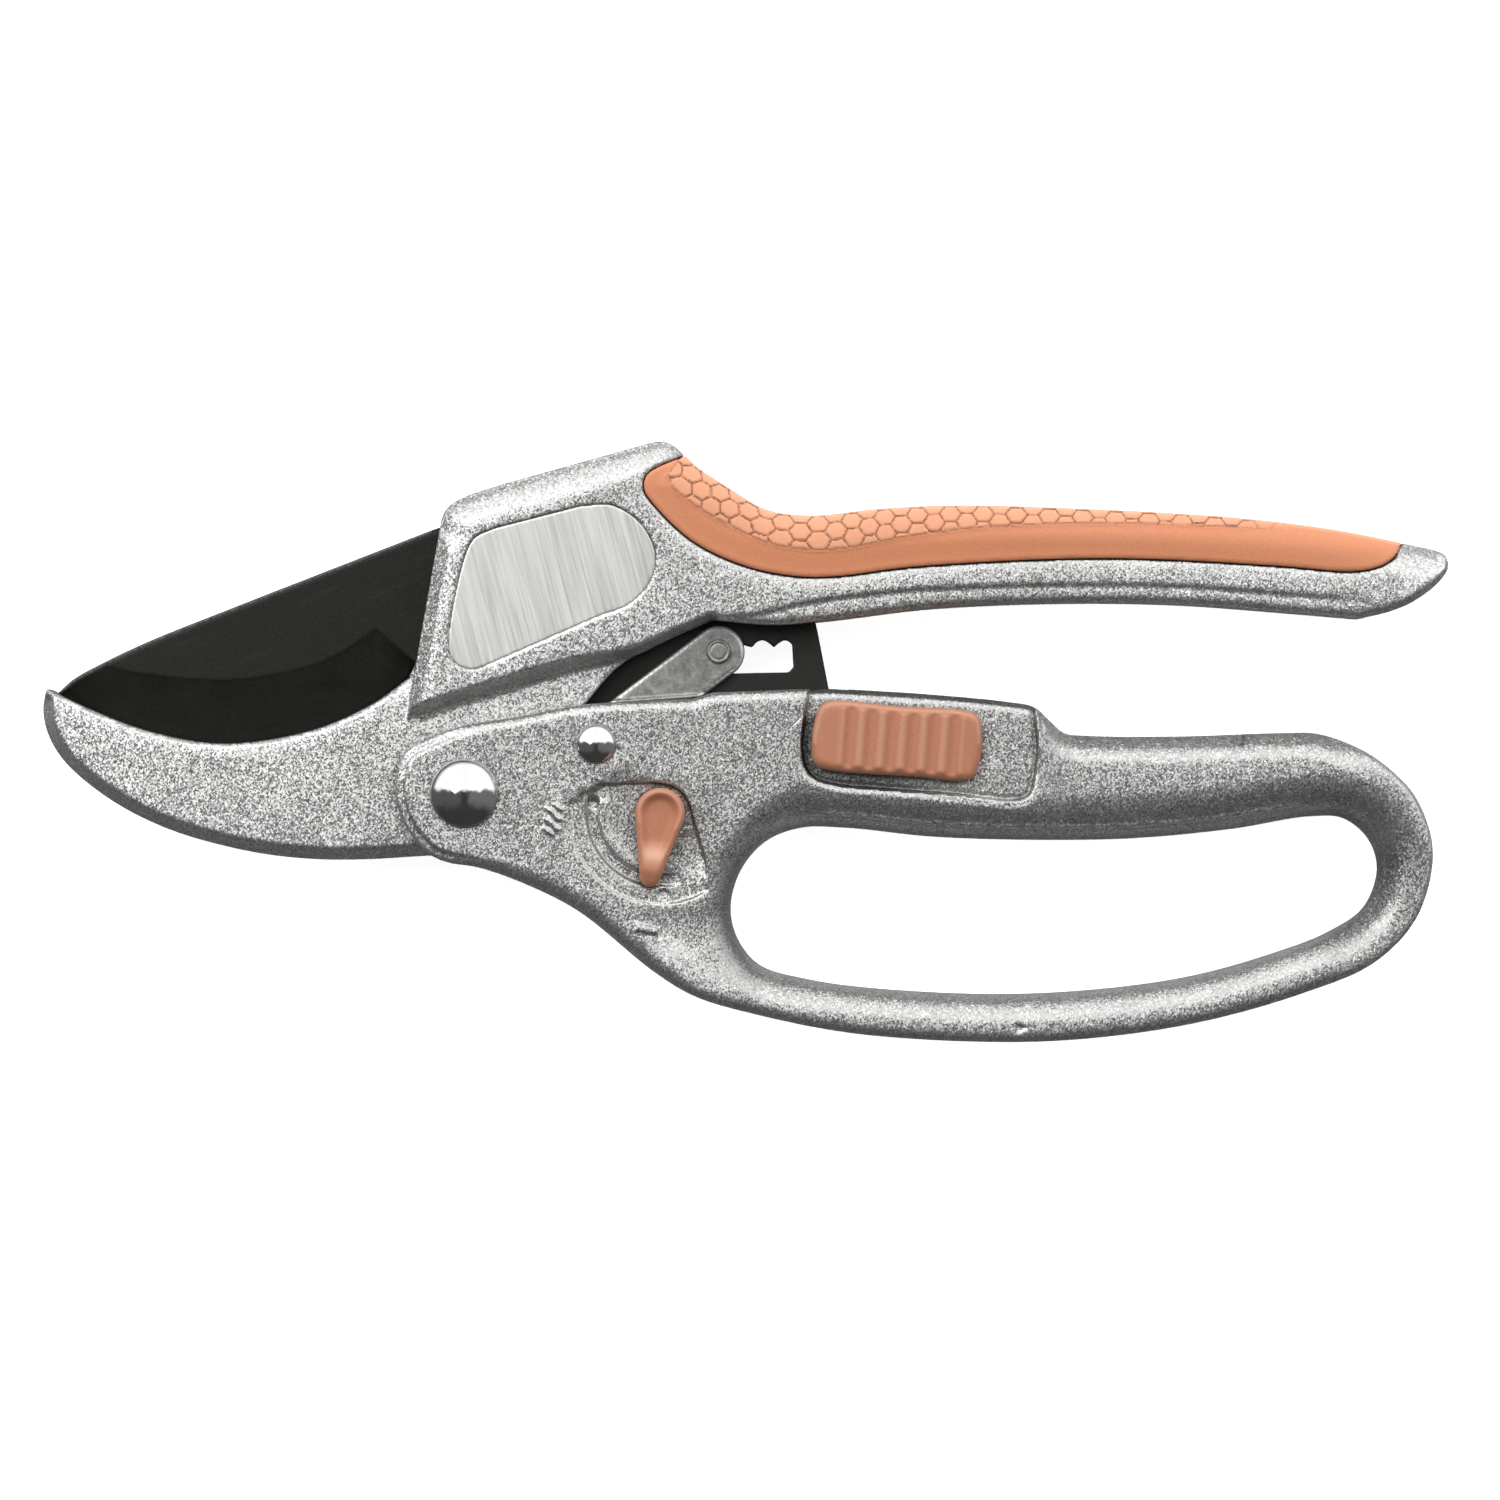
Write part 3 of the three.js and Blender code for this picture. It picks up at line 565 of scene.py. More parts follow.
def cast_paint(name, gain):
    """Silver powder coat: fine flakes, each with its own tone and its own tilt."""
    paint = Paint(name, Metallic=0.85)
    flakes = paint.node("ShaderNodeTexVoronoi",
                        {"Scale": 4700, "Vector": paint.place}).outputs["Color"]
    chance = paint.node("ShaderNodeSeparateColor", {0: flakes})
    tone = paint.colours(chance.outputs[0], [
        (0.0, grey(0.27)), (0.2, grey(0.37)), (0.5, grey(0.44)), (0.85, grey(0.52)),
        (1.0, grey(0.72))])
    cloud = paint.span(paint.noise(160, 4), 0.3, 0.7, 0.94 * gain, 1.06 * gain)
    # Painted shade darkens the coat in corners and along marked lines; marks below zero make it
    # lighter as painted highlights.
    unshaded = paint.math("SUBTRACT", 1.0, paint.painted("painted_shade_and_light"))
    unshaded = paint.math("MULTIPLY", paint.crevice(0.0016, 0.5), unshaded)
    shade = paint.vector("SCALE", tone, paint.math("MULTIPLY", cloud, unshaded))
    lean = paint.vector("SCALE", paint.vector("SUBTRACT", flakes, (0.5, 0.5, 0.5)), 0.36)
    straight = paint.bump(paint.noise(2600, 2), 0.2, 0.00006)
    tilted = paint.vector("NORMALIZE", paint.vector("ADD", straight, lean))
    return paint.done(shade, paint.span(chance.outputs[1], 0, 1, 0.27, 0.42), tilted)


def soft_orange(name, colour, deep, tread=False):
    """Matt orange rubber or plastic with a fine spark-eroded grain."""
    paint = Paint(name, IOR=1.45, Sheen_Weight=0.12, Sheen_Roughness=0.5)
    grain = paint.noise(4200, 2, 0.6)
    tone = paint.mix(paint.span(grain, 0.3, 0.7), deep, colour)
    drift = paint.span(paint.noise(90, 3), 0.35, 0.65)
    tone = paint.mix(paint.math("MULTIPLY", drift, 0.3), tone, tuple(c * 0.88 for c in colour))
    # Painted highlight where the mesh is marked, on lit edges, crests and rims.
    tone = paint.mix(paint.painted("painted_highlight_and_tone"), tone, (0.86, 0.55, 0.4))
    if tread:
        cell = paint.math("MULTIPLY", paint.painted("tread"), 0.5)
        tone = paint.mix(cell, tone, (0.84, 0.42, 0.26))
        # Painted shade in the tread's grooves.
        dark = paint.math("MULTIPLY", paint.painted("groove"), 0.85, clamp=True)
        tone = paint.mix(dark, tone, (0.2, 0.075, 0.04))
    rough = paint.span(grain, 0.3, 0.7, 0.5, 0.66)
    return paint.done(tone, rough, paint.bump(grain, 0.35, 0.00007))


def coated_blade():
    """Black low-friction coating over ground steel, with faint rubs."""
    paint = Paint("coated_blade", Metallic=0.2, Specular_IOR_Level=0.26)
    grain = paint.noise(3000, 3, 0.6)
    rubs = paint.noise(70, 5, 0.62, paint.stretched((1.0, 0.16, 1.0), 0.35))
    tone = paint.mix(paint.span(grain, 0.35, 0.7), (0.006, 0.0056, 0.0045),
                     (0.014, 0.013, 0.0105))
    tone = paint.mix(paint.span(rubs, 0.58, 0.8, 0, 0.3), tone, (0.04, 0.038, 0.033))
    # Painted highlight along the back edge, and a lighter tone over the tail.
    tone = paint.mix(paint.painted("painted_highlight_and_tone"), tone, (0.2, 0.2, 0.19))
    rough = paint.span(paint.noise(200, 4), 0.3, 0.7, 0.38, 0.5)
    return paint.done(tone, rough, paint.bump(grain, 0.2, 0.00005))


def zinc_steel():
    """Dull zinc plate with soft cloudy patches and fine scratches."""
    paint = Paint("zinc_steel", Metallic=0.9)
    cloud = paint.noise(800, 6, 0.8)
    scratch = paint.noise(900, 2, 0.5, paint.stretched((1.0, 0.12, 1.0), 0.64))
    tone = paint.colours(cloud, [(0.3, (0.155, 0.155, 0.15)), (0.5, (0.28, 0.28, 0.27)),
                                 (0.7, (0.46, 0.46, 0.44))])
    tone = paint.mix(paint.span(scratch, 0.6, 0.75, 0, 0.25), tone, (0.6, 0.6, 0.58))
    # Painted highlight round the plate's edge.
    tone = paint.mix(paint.painted("painted_highlight_and_tone"), tone, (0.95, 0.95, 0.93))
    rough = paint.span(cloud, 0.3, 0.7, 0.34, 0.5)
    return paint.done(tone, rough, paint.bump(cloud, 0.25, 0.0001))


def brushed_badge():
    """Aluminium brushed in one direction, a little off upright."""
    paint = Paint("brushed_badge", Metallic=0.85)
    fine = paint.noise(2600, 5, 0.7, paint.stretched((1.0, 45.0, 1.0), BRUSH_LEAN))
    broad = paint.noise(420, 4, 0.65, paint.stretched((1.0, 24.0, 1.0), BRUSH_LEAN))
    tone = paint.colours(fine, [(0.3, (0.56, 0.56, 0.54)), (0.5, (0.7, 0.7, 0.68)),
                                (0.7, (0.8, 0.8, 0.78))])
    tone = paint.mix(paint.span(broad, 0.5, 0.68, 0, 0.5), tone, (0.58, 0.58, 0.565))
    rough = paint.span(fine, 0.3, 0.7, 0.32, 0.44)
    return paint.done(tone, rough, paint.bump(fine, 0.1, 0.00004))


def chrome():
    """Polished rivet metal with the faintest orange peel."""
    paint = Paint("rivet_chrome", Metallic=1.0)
    peel = paint.noise(300, 3, 0.5)
    tone = paint.mix(paint.span(peel, 0.3, 0.7), (0.55, 0.55, 0.555), (0.61, 0.61, 0.61))
    rough = paint.span(paint.noise(700, 4), 0.35, 0.7, 0.07, 0.14)
    return paint.done(tone, rough, paint.bump(peel, 0.12, 0.0003))


def plain_metal(name, cloud_scale, dark, light, smooth, rough):
    """Bare metal with soft clouds, for the small pieces inside."""
    paint = Paint(name, Metallic=0.95)
    cloud = paint.noise(cloud_scale, 4)
    return paint.done(paint.mix(cloud, dark, light), paint.span(cloud, 0.3, 0.7, smooth, rough),
                      paint.bump(cloud, 0.15, 0.0001))


def dress(piece, material):
    piece.data.materials.clear()
    piece.data.materials.append(material)


SLOT_MATERIAL = {
    "cast_paint": cast_paint("cast_paint", 1.17),
    "soft_grip": soft_orange("soft_grip", (0.765, 0.3, 0.15), (0.65, 0.238, 0.112), tread=True),
    "orange_plastic": soft_orange("orange_plastic", (0.54, 0.225, 0.125), (0.45, 0.175, 0.094)),
    "coated_blade": coated_blade(),
    "zinc_steel": zinc_steel(),
    "brushed_badge": brushed_badge(),
    "rivet_chrome": chrome(),
    "bronze": plain_metal("bronze", 500, (0.36, 0.2, 0.07), (0.52, 0.33, 0.14), 0.3, 0.45),
    "spring_steel": plain_metal("spring_steel", 800, (0.12, 0.12, 0.13), (0.28, 0.28, 0.29),
                                0.28, 0.42),
}
# A darker copy of the same coat: painted shade on the loop handle.
SHADED_LOOP_CAST = cast_paint("loop_cast_paint_shaded", 1.09)  # the same coat, a touch darker
NODE_SLOT = {part["node"]: part["material_slot"] for part in frame["record"]["subparts"]}
NODE_BODY = {node: body for body, nodes in frame["record"]["behaviour"]["bodies"].items()
             for node in nodes}


def stand_for(piece, node):
    """The piece takes a CAD node's place: its body, its slot and its finish."""
    slot = NODE_SLOT[node]
    dress(piece, SHADED_LOOP_CAST if node == "loop_handle" else SLOT_MATERIAL[slot])
    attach(piece, NODE_BODY[node])
    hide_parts(node)


for node, shown in frame["nodes"].items():
    dress(shown, SLOT_MATERIAL[NODE_SLOT[node]])


# ---- Frame casting ----
def frame_casting():
    jaw = closed(JAW_AND_LUG)
    head = closed(HEAD_AND_HANDLE)
    sheet = Sheet(np.vstack([jaw, head]), 0.25)
    x, y = sheet.x, sheet.y
    jaw_in, head_in = sheet.inside(jaw), sheet.inside(head)

    # Jaw and lug: flat faces, a chamfer round the outside and a fillet along the anvil.
    rim = sheet.away(path(JAW_BOTTOM))
    lip = sheet.away(path(JAW_TOP))
    low = LUG_HALF - 2.4 * np.clip(1 - rim / 1.75, 0, 1)
    low = low - fall(lip, 2.9, 0.36) - fall(lip, 0.5, 0.35)
    low = sheet.soften(low - 0.05 * np.clip(y - 9, 0, 8) * ramp(x, -14, -9), 0.22)

    # Head and upper handle: a sloping ridge over the lug, rounded edges elsewhere.
    grip = sheet.inside(closed(GRIP))
    ridge = sheet.away(path(RIDGE_FOOT))
    left = sheet.away(path(HEAD_LEFT))
    top = sheet.away(path(HEAD_TOP))
    end = sheet.away(path(HANDLE_END))
    under = sheet.away(path(HANDLE_UNDER))
    slope = 2.05 - 1.15 * ramp(x, 10, 36)
    high = BODY_HALF - (BODY_HALF - LUG_HALF) * fade(ridge, 0.1, slope)
    rounding = np.maximum.reduce([shoulder(left, 1.9, 0.92, 1.6, 0.3), fall(end, 1.4, 2.0),
                                  shoulder(top, 1.1, 0.97, 4.0, 0.72), fall(under, 1.25, 1.0)])
    tip = ramp(x, 137, 142) * np.clip(y - 28, 0, None)
    high = high - rounding - 0.13 * tip - fall(grip, 3.4, 0.5) * ramp(x, 24, 30)

    # A bead follows the handle's underside, with a fine groove above it.
    bead = (0.3 - 0.04 * ramp(x, 50, 80)) * fade(x, 124, 138)
    crease = np.interp(x, [37, 49, 56, 80], [0, 2.8, 3.2, 2.65])
    step = fade(under, crease - 0.35, crease + 0.4)
    step = (step + 0.27 * hump(under, crease - 0.3, 0.3)) * ramp(crease, 0, 0.6)
    high = sheet.soften(high - bead * step, 0.2)

    # The badge's seat, with a rim that leans outwards.
    badge = sheet.inside(closed(BADGE))
    floor = height("badge_front", 0) - GAP
    rim_width = 0.4
    wall = BADGE_FACE + (BODY_HALF - BADGE_FACE) * ramp(badge, 0, rim_width)
    seat = np.where(badge < 0, floor, wall)
    high = np.minimum(high, np.where(badge < rim_width, seat, np.inf))

    low_steep, high_steep = sheet.steepness(low), sheet.steepness(high)
    slot = sheet.inside(closed(BLADE_SLOT))
    bed = grip - 0.15
    core = sheet.inside(closed(GRIP_CORE))
    pin = sheet.disc(BLADE_PIVOT, PIN_RADIUS + GAP)
    bush = sheet.disc(MAIN_PIVOT, BUSH_RADIUS + GAP)
    bay = sheet.disc(MAIN_PIVOT, 7.2)
    leg = sheet.box((9.0, -5.5), 22, 17)

    def solid_at(z):
        a = abs(z)
        jaw_part = np.maximum((a - low) / low_steep, jaw_in)
        head_part = np.maximum((a - high) / high_steep, head_in)
        body = blend(jaw_part, head_part, 0.5)
        body = cut(body, np.maximum(a - SLOT_HALF, slot), 0.12)
        body = cut(body, np.maximum(bed, -np.maximum(core, a - GRIP_CORE_HALF)))
        body = cut(body, np.minimum(pin, bush))
        return cut(body, np.maximum(a - SPRING_BAY_HALF, np.minimum(bay, leg)))

    piece = cast("frame_body", sheet, -BODY_HALF, BODY_HALF, solid_at, 170_000)
    # Painted shade: dark lines round the badge's top and right, along the anvil under the blade and
    # at the ridge's foot. Painted highlight along the badge's lower rim, and painted light towards
    # the handle's end.
    lower_side = fade(sheet.away(path(BADGE[8:11])), 0.5, 2.0)
    badge_rim_shade = 0.35 * fade(np.abs(badge - 0.1), 0.1, 0.25) * (1 - lower_side)
    badge_rim_highlight = 0.5 * fade(np.abs(badge - 0.25), 0.1, 0.3) * lower_side
    anvil_shadow = 0.55 * fade(lip, 0.25, 0.5) * (x < -8)
    ridge_foot_shade = 0.3 * fade(ridge, 0.1, 0.5)
    handle_end_light = 0.09 * ramp(x, 80, 110)
    lines = np.maximum.reduce([badge_rim_shade, anvil_shadow, ridge_foot_shade]) - badge_rim_highlight - handle_end_light
    at, _ = under_points(piece, sheet)
    mark(piece, "painted_shade_and_light", lines[at])
    return piece


# ---- Soft grip ----
HEX = 2.86  # across the flats of a tread cell
TREAD_TURN = 5.8  # the height at which the tread turns from the grip's back to its faces
TREAD_EDGE = [(30.2, 46.9), (31.2, 45.5), (35.3, 42.3), (40.2, 39.6), (45, 37.4), (50.2, 36.4),
              (54.2, 36.3), (59.1, 36.9), (65.1, 38.1), (74.3, 39.4), (86.4, 40.1), (98.4, 40.2),
              (112.2, 39.8), (124, 39.1)]


def hex_lines(s, v):
    """Distance to the nearest line of a honeycomb whose cells are HEX across."""
    long = HEX * math.sqrt(3)
    near = []
    for shift_s, shift_v in ((0, 0), (long / 2, HEX / 2)):
        ds = (s + shift_s + long / 2) % long - long / 2
        dv = (v + shift_v + HEX / 2) % HEX - HEX / 2
        near.append((ds, dv, ds * ds + dv * dv))
    first = near[0][2] < near[1][2]
    ds = np.where(first, near[0][0], near[1][0])
    dv = np.where(first, near[0][1], near[1][1])
    reach = np.abs(dv)
    for angle in (30, 150):
        c, w = math.cos(math.radians(angle)), math.sin(math.radians(angle))
        reach = np.maximum(reach, np.abs(ds * c + dv * w))
    return HEX / 2 - reach


def tread_groove(run, down, field, z):
    """How deep the tread is cut, from 0 to 1, for a place on the grip."""
    round_top = np.minimum(abs(z), TREAD_TURN)
    across = down * 0.95 + round_top + (abs(z) - round_top) * 0.36 - 0.64 * TREAD_TURN
    line = fade(hex_lines(run, across), 0.04, 0.18)
    inside = fade(field, -0.12, 0.05)
    rim = 0.5 * fade(np.abs(field), 0.05, 0.2)
    return fade(run, 82, 97) * np.maximum(line * inside, rim)


def handle_grip():
    outline = closed(GRIP)
    sheet = Sheet(outline, 0.21, 1.0)
    grip = sheet.inside(outline)
    down, run = sheet.away(path(GRIP_TOP), along=True)
    low = sheet.away(path(GRIP_LOW))
    above = np.array([(124, 46), (80, 50), (50, 50), (34, 53), (31.2, 48.6)])
    field = sheet.inside(np.vstack([path(TREAD_EDGE), above]))
    pad = 0.25 * fade(field, -0.1, 0.5) * fade(run, 80, 97)
    top = GRIP_HALF - 0.6 - fall(down, 5.6, 3.6) - fall(low, 0.6, 0.5)
    top = sheet.soften(top + 0.35 * ramp(low, 0.5, 4.0) + pad, 0.15)
    steep = sheet.steepness(top)
    core = sheet.inside(closed(GRIP_CORE)) - GAP
    core_half = GRIP_CORE_HALF + GAP

    def solid_at(z):
        a = abs(z)
        body = np.maximum((a - top) / steep, grip)
        body = body + 0.3 * tread_groove(run, down, field, a)
        return cut(body, np.maximum(core, a - core_half))

    piece = cast("grip_sleeve", sheet, -GRIP_HALF, GRIP_HALF, solid_at, 180_000)
    at, level = under_points(piece, sheet)
    lines = tread_groove(run[at], down[at], field[at], level)
    cells = fade(field[at], -0.1, 0.1) * fade(run[at], 80, 97)
    # Painted highlight along the grip's top edge, and painted shade in the tread's grooves.
    mark(piece, "painted_highlight_and_tone", 0.35 * fade(down[at], 0.1, 0.6))
    mark(piece, "groove", lines)
    mark(piece, "tread", cells)
    return piece


# ---- Blade ----
def blade():
    outline = closed(BLADE)
    sheet = Sheet(outline, 0.22, 1.0)
    body_in = sheet.inside(outline)
    bevel_line, edge_line = path(BEVEL_LINE), path(BLADE_EDGE)
    zone = sheet.inside(np.vstack([bevel_line, edge_line[1:-1]]))
    from_bevel, from_edge = sheet.away(bevel_line), sheet.away(edge_line)
    share = from_bevel / np.maximum(from_bevel + from_edge, 1e-6)
    face = BLADE_HALF - np.where(zone < 0, 0.04 + 1.28 * share, 0)
    face = face - 0.35 * np.clip(1 + body_in / 0.6, 0, 1) * (zone > 0)
    steep = sheet.steepness(face)
    window = sheet.inside(closed(TAIL_WINDOW))
    bore = sheet.disc(BLADE_PIVOT, 5.25)

    def solid_at(z):
        body = np.maximum((abs(z) - face) / steep, body_in)
        return cut(cut(body, window, 0.1), bore)

    piece = cast("blade_plate", sheet, -BLADE_HALF, BLADE_HALF, solid_at, 90_000)
    # Painted highlight along the blade's back edge; the tail is given a slightly lighter tone.
    back_highlight = 0.5 * fade(sheet.away(path(BLADE_BACK)), 0.1, 0.5) * (sheet.x < 0)
    tail = 0.07 * ramp(sheet.x, 24, 30)
    at, _ = under_points(piece, sheet)
    mark(piece, "painted_highlight_and_tone", np.maximum(back_highlight, tail)[at])
    return piece


# ---- Loop handle ----
def selector_shape(sheet):
    return belt(sheet, SELECTOR_PIVOT, 3.7, SELECTOR_TIP, 1.5)


def saw_mark(sheet, centre, tilt):
    """Three small saw teeth, the ratchet position's mark."""
    c, s = math.cos(tilt), math.sin(tilt)
    u = (sheet.x - centre[0]) * c + (sheet.y - centre[1]) * s
    v = (sheet.y - centre[1]) * c - (sheet.x - centre[0]) * s
    tooth = (u % 1.5) / 1.5 * 1.9 - 0.95
    line = np.abs(v - tooth) * 0.6 - 0.2
    return np.maximum(line, np.abs(u) - 2.25)


def nick(sheet):
    """Signed distance to the small nick on top of the loop."""
    return sheet.box((116.3, 8.1), 0.3, 1.9, math.radians(-12))


def loop_surface(sheet, out, opening):
    """The height of the loop handle's faces, before the recesses on its front."""
    x, y = sheet.x, sheet.y

    # Thickness: full at the cheeks, thinner and fully rounded round the loop.
    lower = fade(y, -18, -8)
    thinned = lower * ramp(x, 34, 80) + (1 - lower) * ramp(x, 83.5, 91)
    half = BODY_HALF - (BODY_HALF - LOOP_HALF) * thinned
    right = ramp(x, 129, 139)
    half = half - 1.7 * right * fade(y, -15, 5)
    half = half - 0.02 * np.clip(13 - y, 0, 18)

    # The outer edge: a tight roll, wider under the belly and over the top bar.
    belly = fade(y, -11, -4) * ramp(x, -4, 14) * fade(x, 28, 46)
    ledge = fade(x, -4, 5)
    bottom_bar = ramp(x, 24, 40) * fade(y, -26, 2)
    top_bar = ramp(x, 84, 92) * ramp(y, -26, 2) * fade(x, 128, 137)
    swell = 1.1 * belly * (1 - bottom_bar) + 0.1 * bottom_bar - 0.7 * right
    edge = 1.6 - 1.0 * ledge + swell
    edge_drop = 1.3 - 0.7 * ledge + swell
    rolled = shoulder(-out, 1.9, 1.0, 2.2, 0.7) + fall(-out, 9, 0.95)
    base = half - (1 - top_bar) * fall(-out, edge, edge_drop) - top_bar * rolled

    # The finger hole's edge: a broad roll, steeper inside the right bend.
    upper = ramp(y, -24, -9)
    inner = 4.7 + 2.5 * upper * ramp(x, 38, 50) + 2.6 * right * (1 - upper)
    inner_drop = 5.0 + 1.0 * upper + 0.8 * right * (1 - upper)
    steep_side = ramp(x, 128, 134) * fade(y, -16, -8)
    steep_roll = shoulder(-opening, 2.2, 1.2, 2.6, 1.0) + fall(-opening, 8, 1.1)
    base = base - (1 - steep_side) * fall(-opening, inner, inner_drop) - steep_side * steep_roll
    base = base - fall(-out, 5, 1.2) * ramp(x, 126, 135) * ramp(y, -9, -1)

    # A ledge round the pivot end, two hollows beside the hole and a fine bead over it.
    base = base - 0.4 * ledge * fade(-out, 1.2, 1.55)
    bend = ramp(x, 20, 30) * fade(x, 44, 56) * fade(y, -24, -15)
    base = base - 0.66 * bend * ramp(-out, 1.6, 6.8)
    hollow = ramp(y, -25, -18) * fade(y, -17, 4)
    base = base - 0.6 * hollow * ramp(x, 26, 31) * fade(x, 36, 43)
    upper_bar = ramp(y, -12, -8) * ramp(x, 46, 56) * fade(x, 122, 130)
    base = base + 0.5 * upper_bar * hump(-opening, 1.9, 0.3)
    return sheet.soften(base - 0.4 * fade(nick(sheet), -0.1, 0.15), 0.22)


def sink_lock(sheet, base, out, recess, wall_line):
    """The front with the lock's recess: a sunk flat, open to the handle's upper edge."""
    gutter = 0.16 * fade(-recess, 0.15, 0.85)
    floor = LOCK_FLOOR - shoulder(-out, 0.75, 1.5, 1.0, 0.6) - gutter
    wall = ramp(wall_line, -0.25, 0.22)
    lip = base - 0.3 * fade(wall_line, 0.15, 0.95) * fade(sheet.y, 3, 7)
    sunk = np.minimum(lip, floor + (BODY_HALF - floor) * wall)
    front = np.where(recess > 1.2, base, np.where(recess > 0.5, lip, sunk))
    return front - 0.14 * hump(recess, 1.0, 0.2) * ramp(sheet.x, 66, 74)


def selector_depth(sheet):
    """How far the selector's field is sunk: a floor with a running groove and an outer band."""
    reach = sheet.disc(SELECTOR_PIVOT, 0)
    away_x, away_y = sheet.x - SELECTOR_PIVOT[0], sheet.y - SELECTOR_PIVOT[1]
    turn = np.degrees(np.arctan2(away_y, away_x)) % 360
    arc = np.radians(np.arange(302, 165, -6))
    arc_line = 13.8 * np.stack([np.cos(arc), np.sin(arc)], 1) + SELECTOR_PIVOT
    field = sheet.inside(np.vstack([path(SELECTOR_EDGE), arc_line]))
    sweep = ramp(turn, 164, 170) * fade(turn, 268, 290)
    outer_band = ramp(reach, 10.9, 11.25)
    groove = ramp(reach, 9.1, 9.4) * fade(reach, 10.75, 11.1)
    inner_band = ramp(reach, 7.7, 8.1) * fade(reach, 9.1, 9.4)
    depth = 0.7 + sweep * (0.35 * groove - 0.4 * outer_band - 0.15 * inner_band)
    depth = depth * (1 - 0.9 * ramp(turn, 282, 312) * ramp(reach, 8.5, 12.5))
    open_corner = sheet.away(np.array([arc_line[-1], SELECTOR_EDGE[0][:2]]))
    depth = depth * fade(field, -0.35, 0.0) * ramp(open_corner, 0.1, 1.3)
    for stop in ((19.2, -1.4), (29.6, -15.0)):
        depth = depth + 0.45 * fade(sheet.disc(stop, 0), 0.5, 1.0)
    return depth


def loop_dirt(sheet, out, opening, recess, wall_line):
    """The painted shade of the front, and of both sides: dark lines and bands in the lock recess,
    round the selector, along edges, in the nick and inside the finger hole's ends.
    """
    x, y = sheet.x, sheet.y
    shaded = 0.62 + 0.18 * fade(x, 51, 53)
    shaded = shaded * fade(-recess, 0.9, 1.5) * fade(x, 62, 74)
    shaded = shaded * fade(wall_line, 0.0, 0.3) * fade(y, 10.5, 12.5)
    right_line = 0.55 * fade(np.abs(recess), 0.12, 0.35) * ramp(x, 78, 83)
    field_line = 0.25 * fade(sheet.away(path(SELECTOR_EDGE)), 0.1, 0.36)
    around_thumb = 0.28 * fade(selector_shape(sheet), 0.1, 0.8)

    top_line = 0.45 * fade(-out, 0.7, 1.0) * (y > 0)
    top_line = top_line * ramp(x, 50.5, 51.5) * fade(x, 84, 85)
    ledge_line = 0.3 * fade(x, -4, 5) * fade(np.abs(-out - 1.35), 0.08, 0.3)
    cut_line = 0.6 * fade(nick(sheet), -0.1, 0.15)
    left_reach = 2.6 + 3.2 * fade(y, -18, -13)
    left_end = 0.46 * fade(-opening, 0.8, left_reach) * fade(x, 40, 47)
    mid_bend = ramp(y, -20, -15) * fade(y, -11, -6)
    right_end = 0.28 + 0.24 * mid_bend
    right_end = right_end * fade(-opening, 1.2 + 1.8 * mid_bend, 4.5 + 2.4 * mid_bend)
    right_end = right_end * ramp(x, 124, 131) * (y < 1)
    both = np.maximum.reduce([top_line, ledge_line, cut_line, left_end, right_end])
    front = np.maximum.reduce([both, shaded, right_line, field_line, around_thumb])
    return front, both


def loop_handle():
    outline, hole = closed(LOOP_OUTSIDE), closed(FINGER_HOLE)
    sheet = Sheet(outline, 0.25)
    out, opening = sheet.inside(outline), -sheet.inside(hole)
    solid_in = np.maximum(out, opening)
    recess = sheet.inside(closed(LOCK_RECESS))
    wall_line = recess - 0.2 * ramp(sheet.x, 52, 57)

    base = loop_surface(sheet, out, opening)
    front = sink_lock(sheet, base, out, recess, wall_line)
    saw = saw_mark(sheet, (13.3, -3.9), math.radians(80))
    bar = sheet.box((27.3, -20.3), 3.2, 0.9, math.radians(-12))
    marks = 0.4 * fade(np.minimum(saw, bar), -0.12, 0.22)
    front = front - selector_depth(sheet) + marks
    wedge = sheet.inside(np.array([(82.2, -34.4), (82.3, -36.0), (84.1, -35.0)]))
    front = front - 0.35 * fade(wedge, -0.15, 0.15)
    front_steep, back_steep = sheet.steepness(front), sheet.steepness(base)

    # Room inside for the lug, the cam, the lock plate, the shaft and the detent ball.
    pocket = sheet.inside(closed(CHEEK_POCKET))
    cam = sheet.inside(closed(CAM_POCKET))
    cam_half = 2.6
    lock = sheet.inside(closed(LOCK_POCKET))
    lock_half = 2.3
    stem = sheet.box((70.2, 6.5), 12.5, 3.5, LOCK_TILT)
    shaft = sheet.disc(SELECTOR_PIVOT, 1.8)
    shaft_foot = -6.3
    ball = sheet.disc((SELECTOR_PIVOT[0] - 1.9, SELECTOR_PIVOT[1] + 1.9), 0.9)
    ball_foot = 5.7
    rivets = np.minimum(sheet.disc(MAIN_PIVOT, MAIN_SHANK + GAP),
                        sheet.disc(LINK_PIVOT, LINK_SHANK + GAP))

    def solid_at(z):
        surface, steep = (front, front_steep) if z > 0 else (base, back_steep)
        body = np.maximum((abs(z) - surface) / steep, solid_in)
        body = cut(body, np.maximum(abs(z) - CHEEK_INNER, pocket), 0.15)
        body = cut(body, np.maximum(abs(z) - cam_half, cam))
        body = cut(body, np.maximum(abs(z) - lock_half, lock))
        body = cut(body, np.maximum(-z, stem))
        body = cut(body, np.maximum(shaft_foot - z, shaft))
        body = cut(body, np.maximum(ball_foot - z, ball))
        return cut(body, rivets)

    piece = cast("loop_body_casting", sheet, -BODY_HALF, BODY_HALF, solid_at, 170_000)
    # Painted shade on the front and on both sides.
    front_shade, both_sides_shade = loop_dirt(sheet, out, opening, recess, wall_line)
    at, level = under_points(piece, sheet)
    mark(piece, "painted_shade_and_light", np.where(level > 0, front_shade[at], both_sides_shade[at]))
    return piece


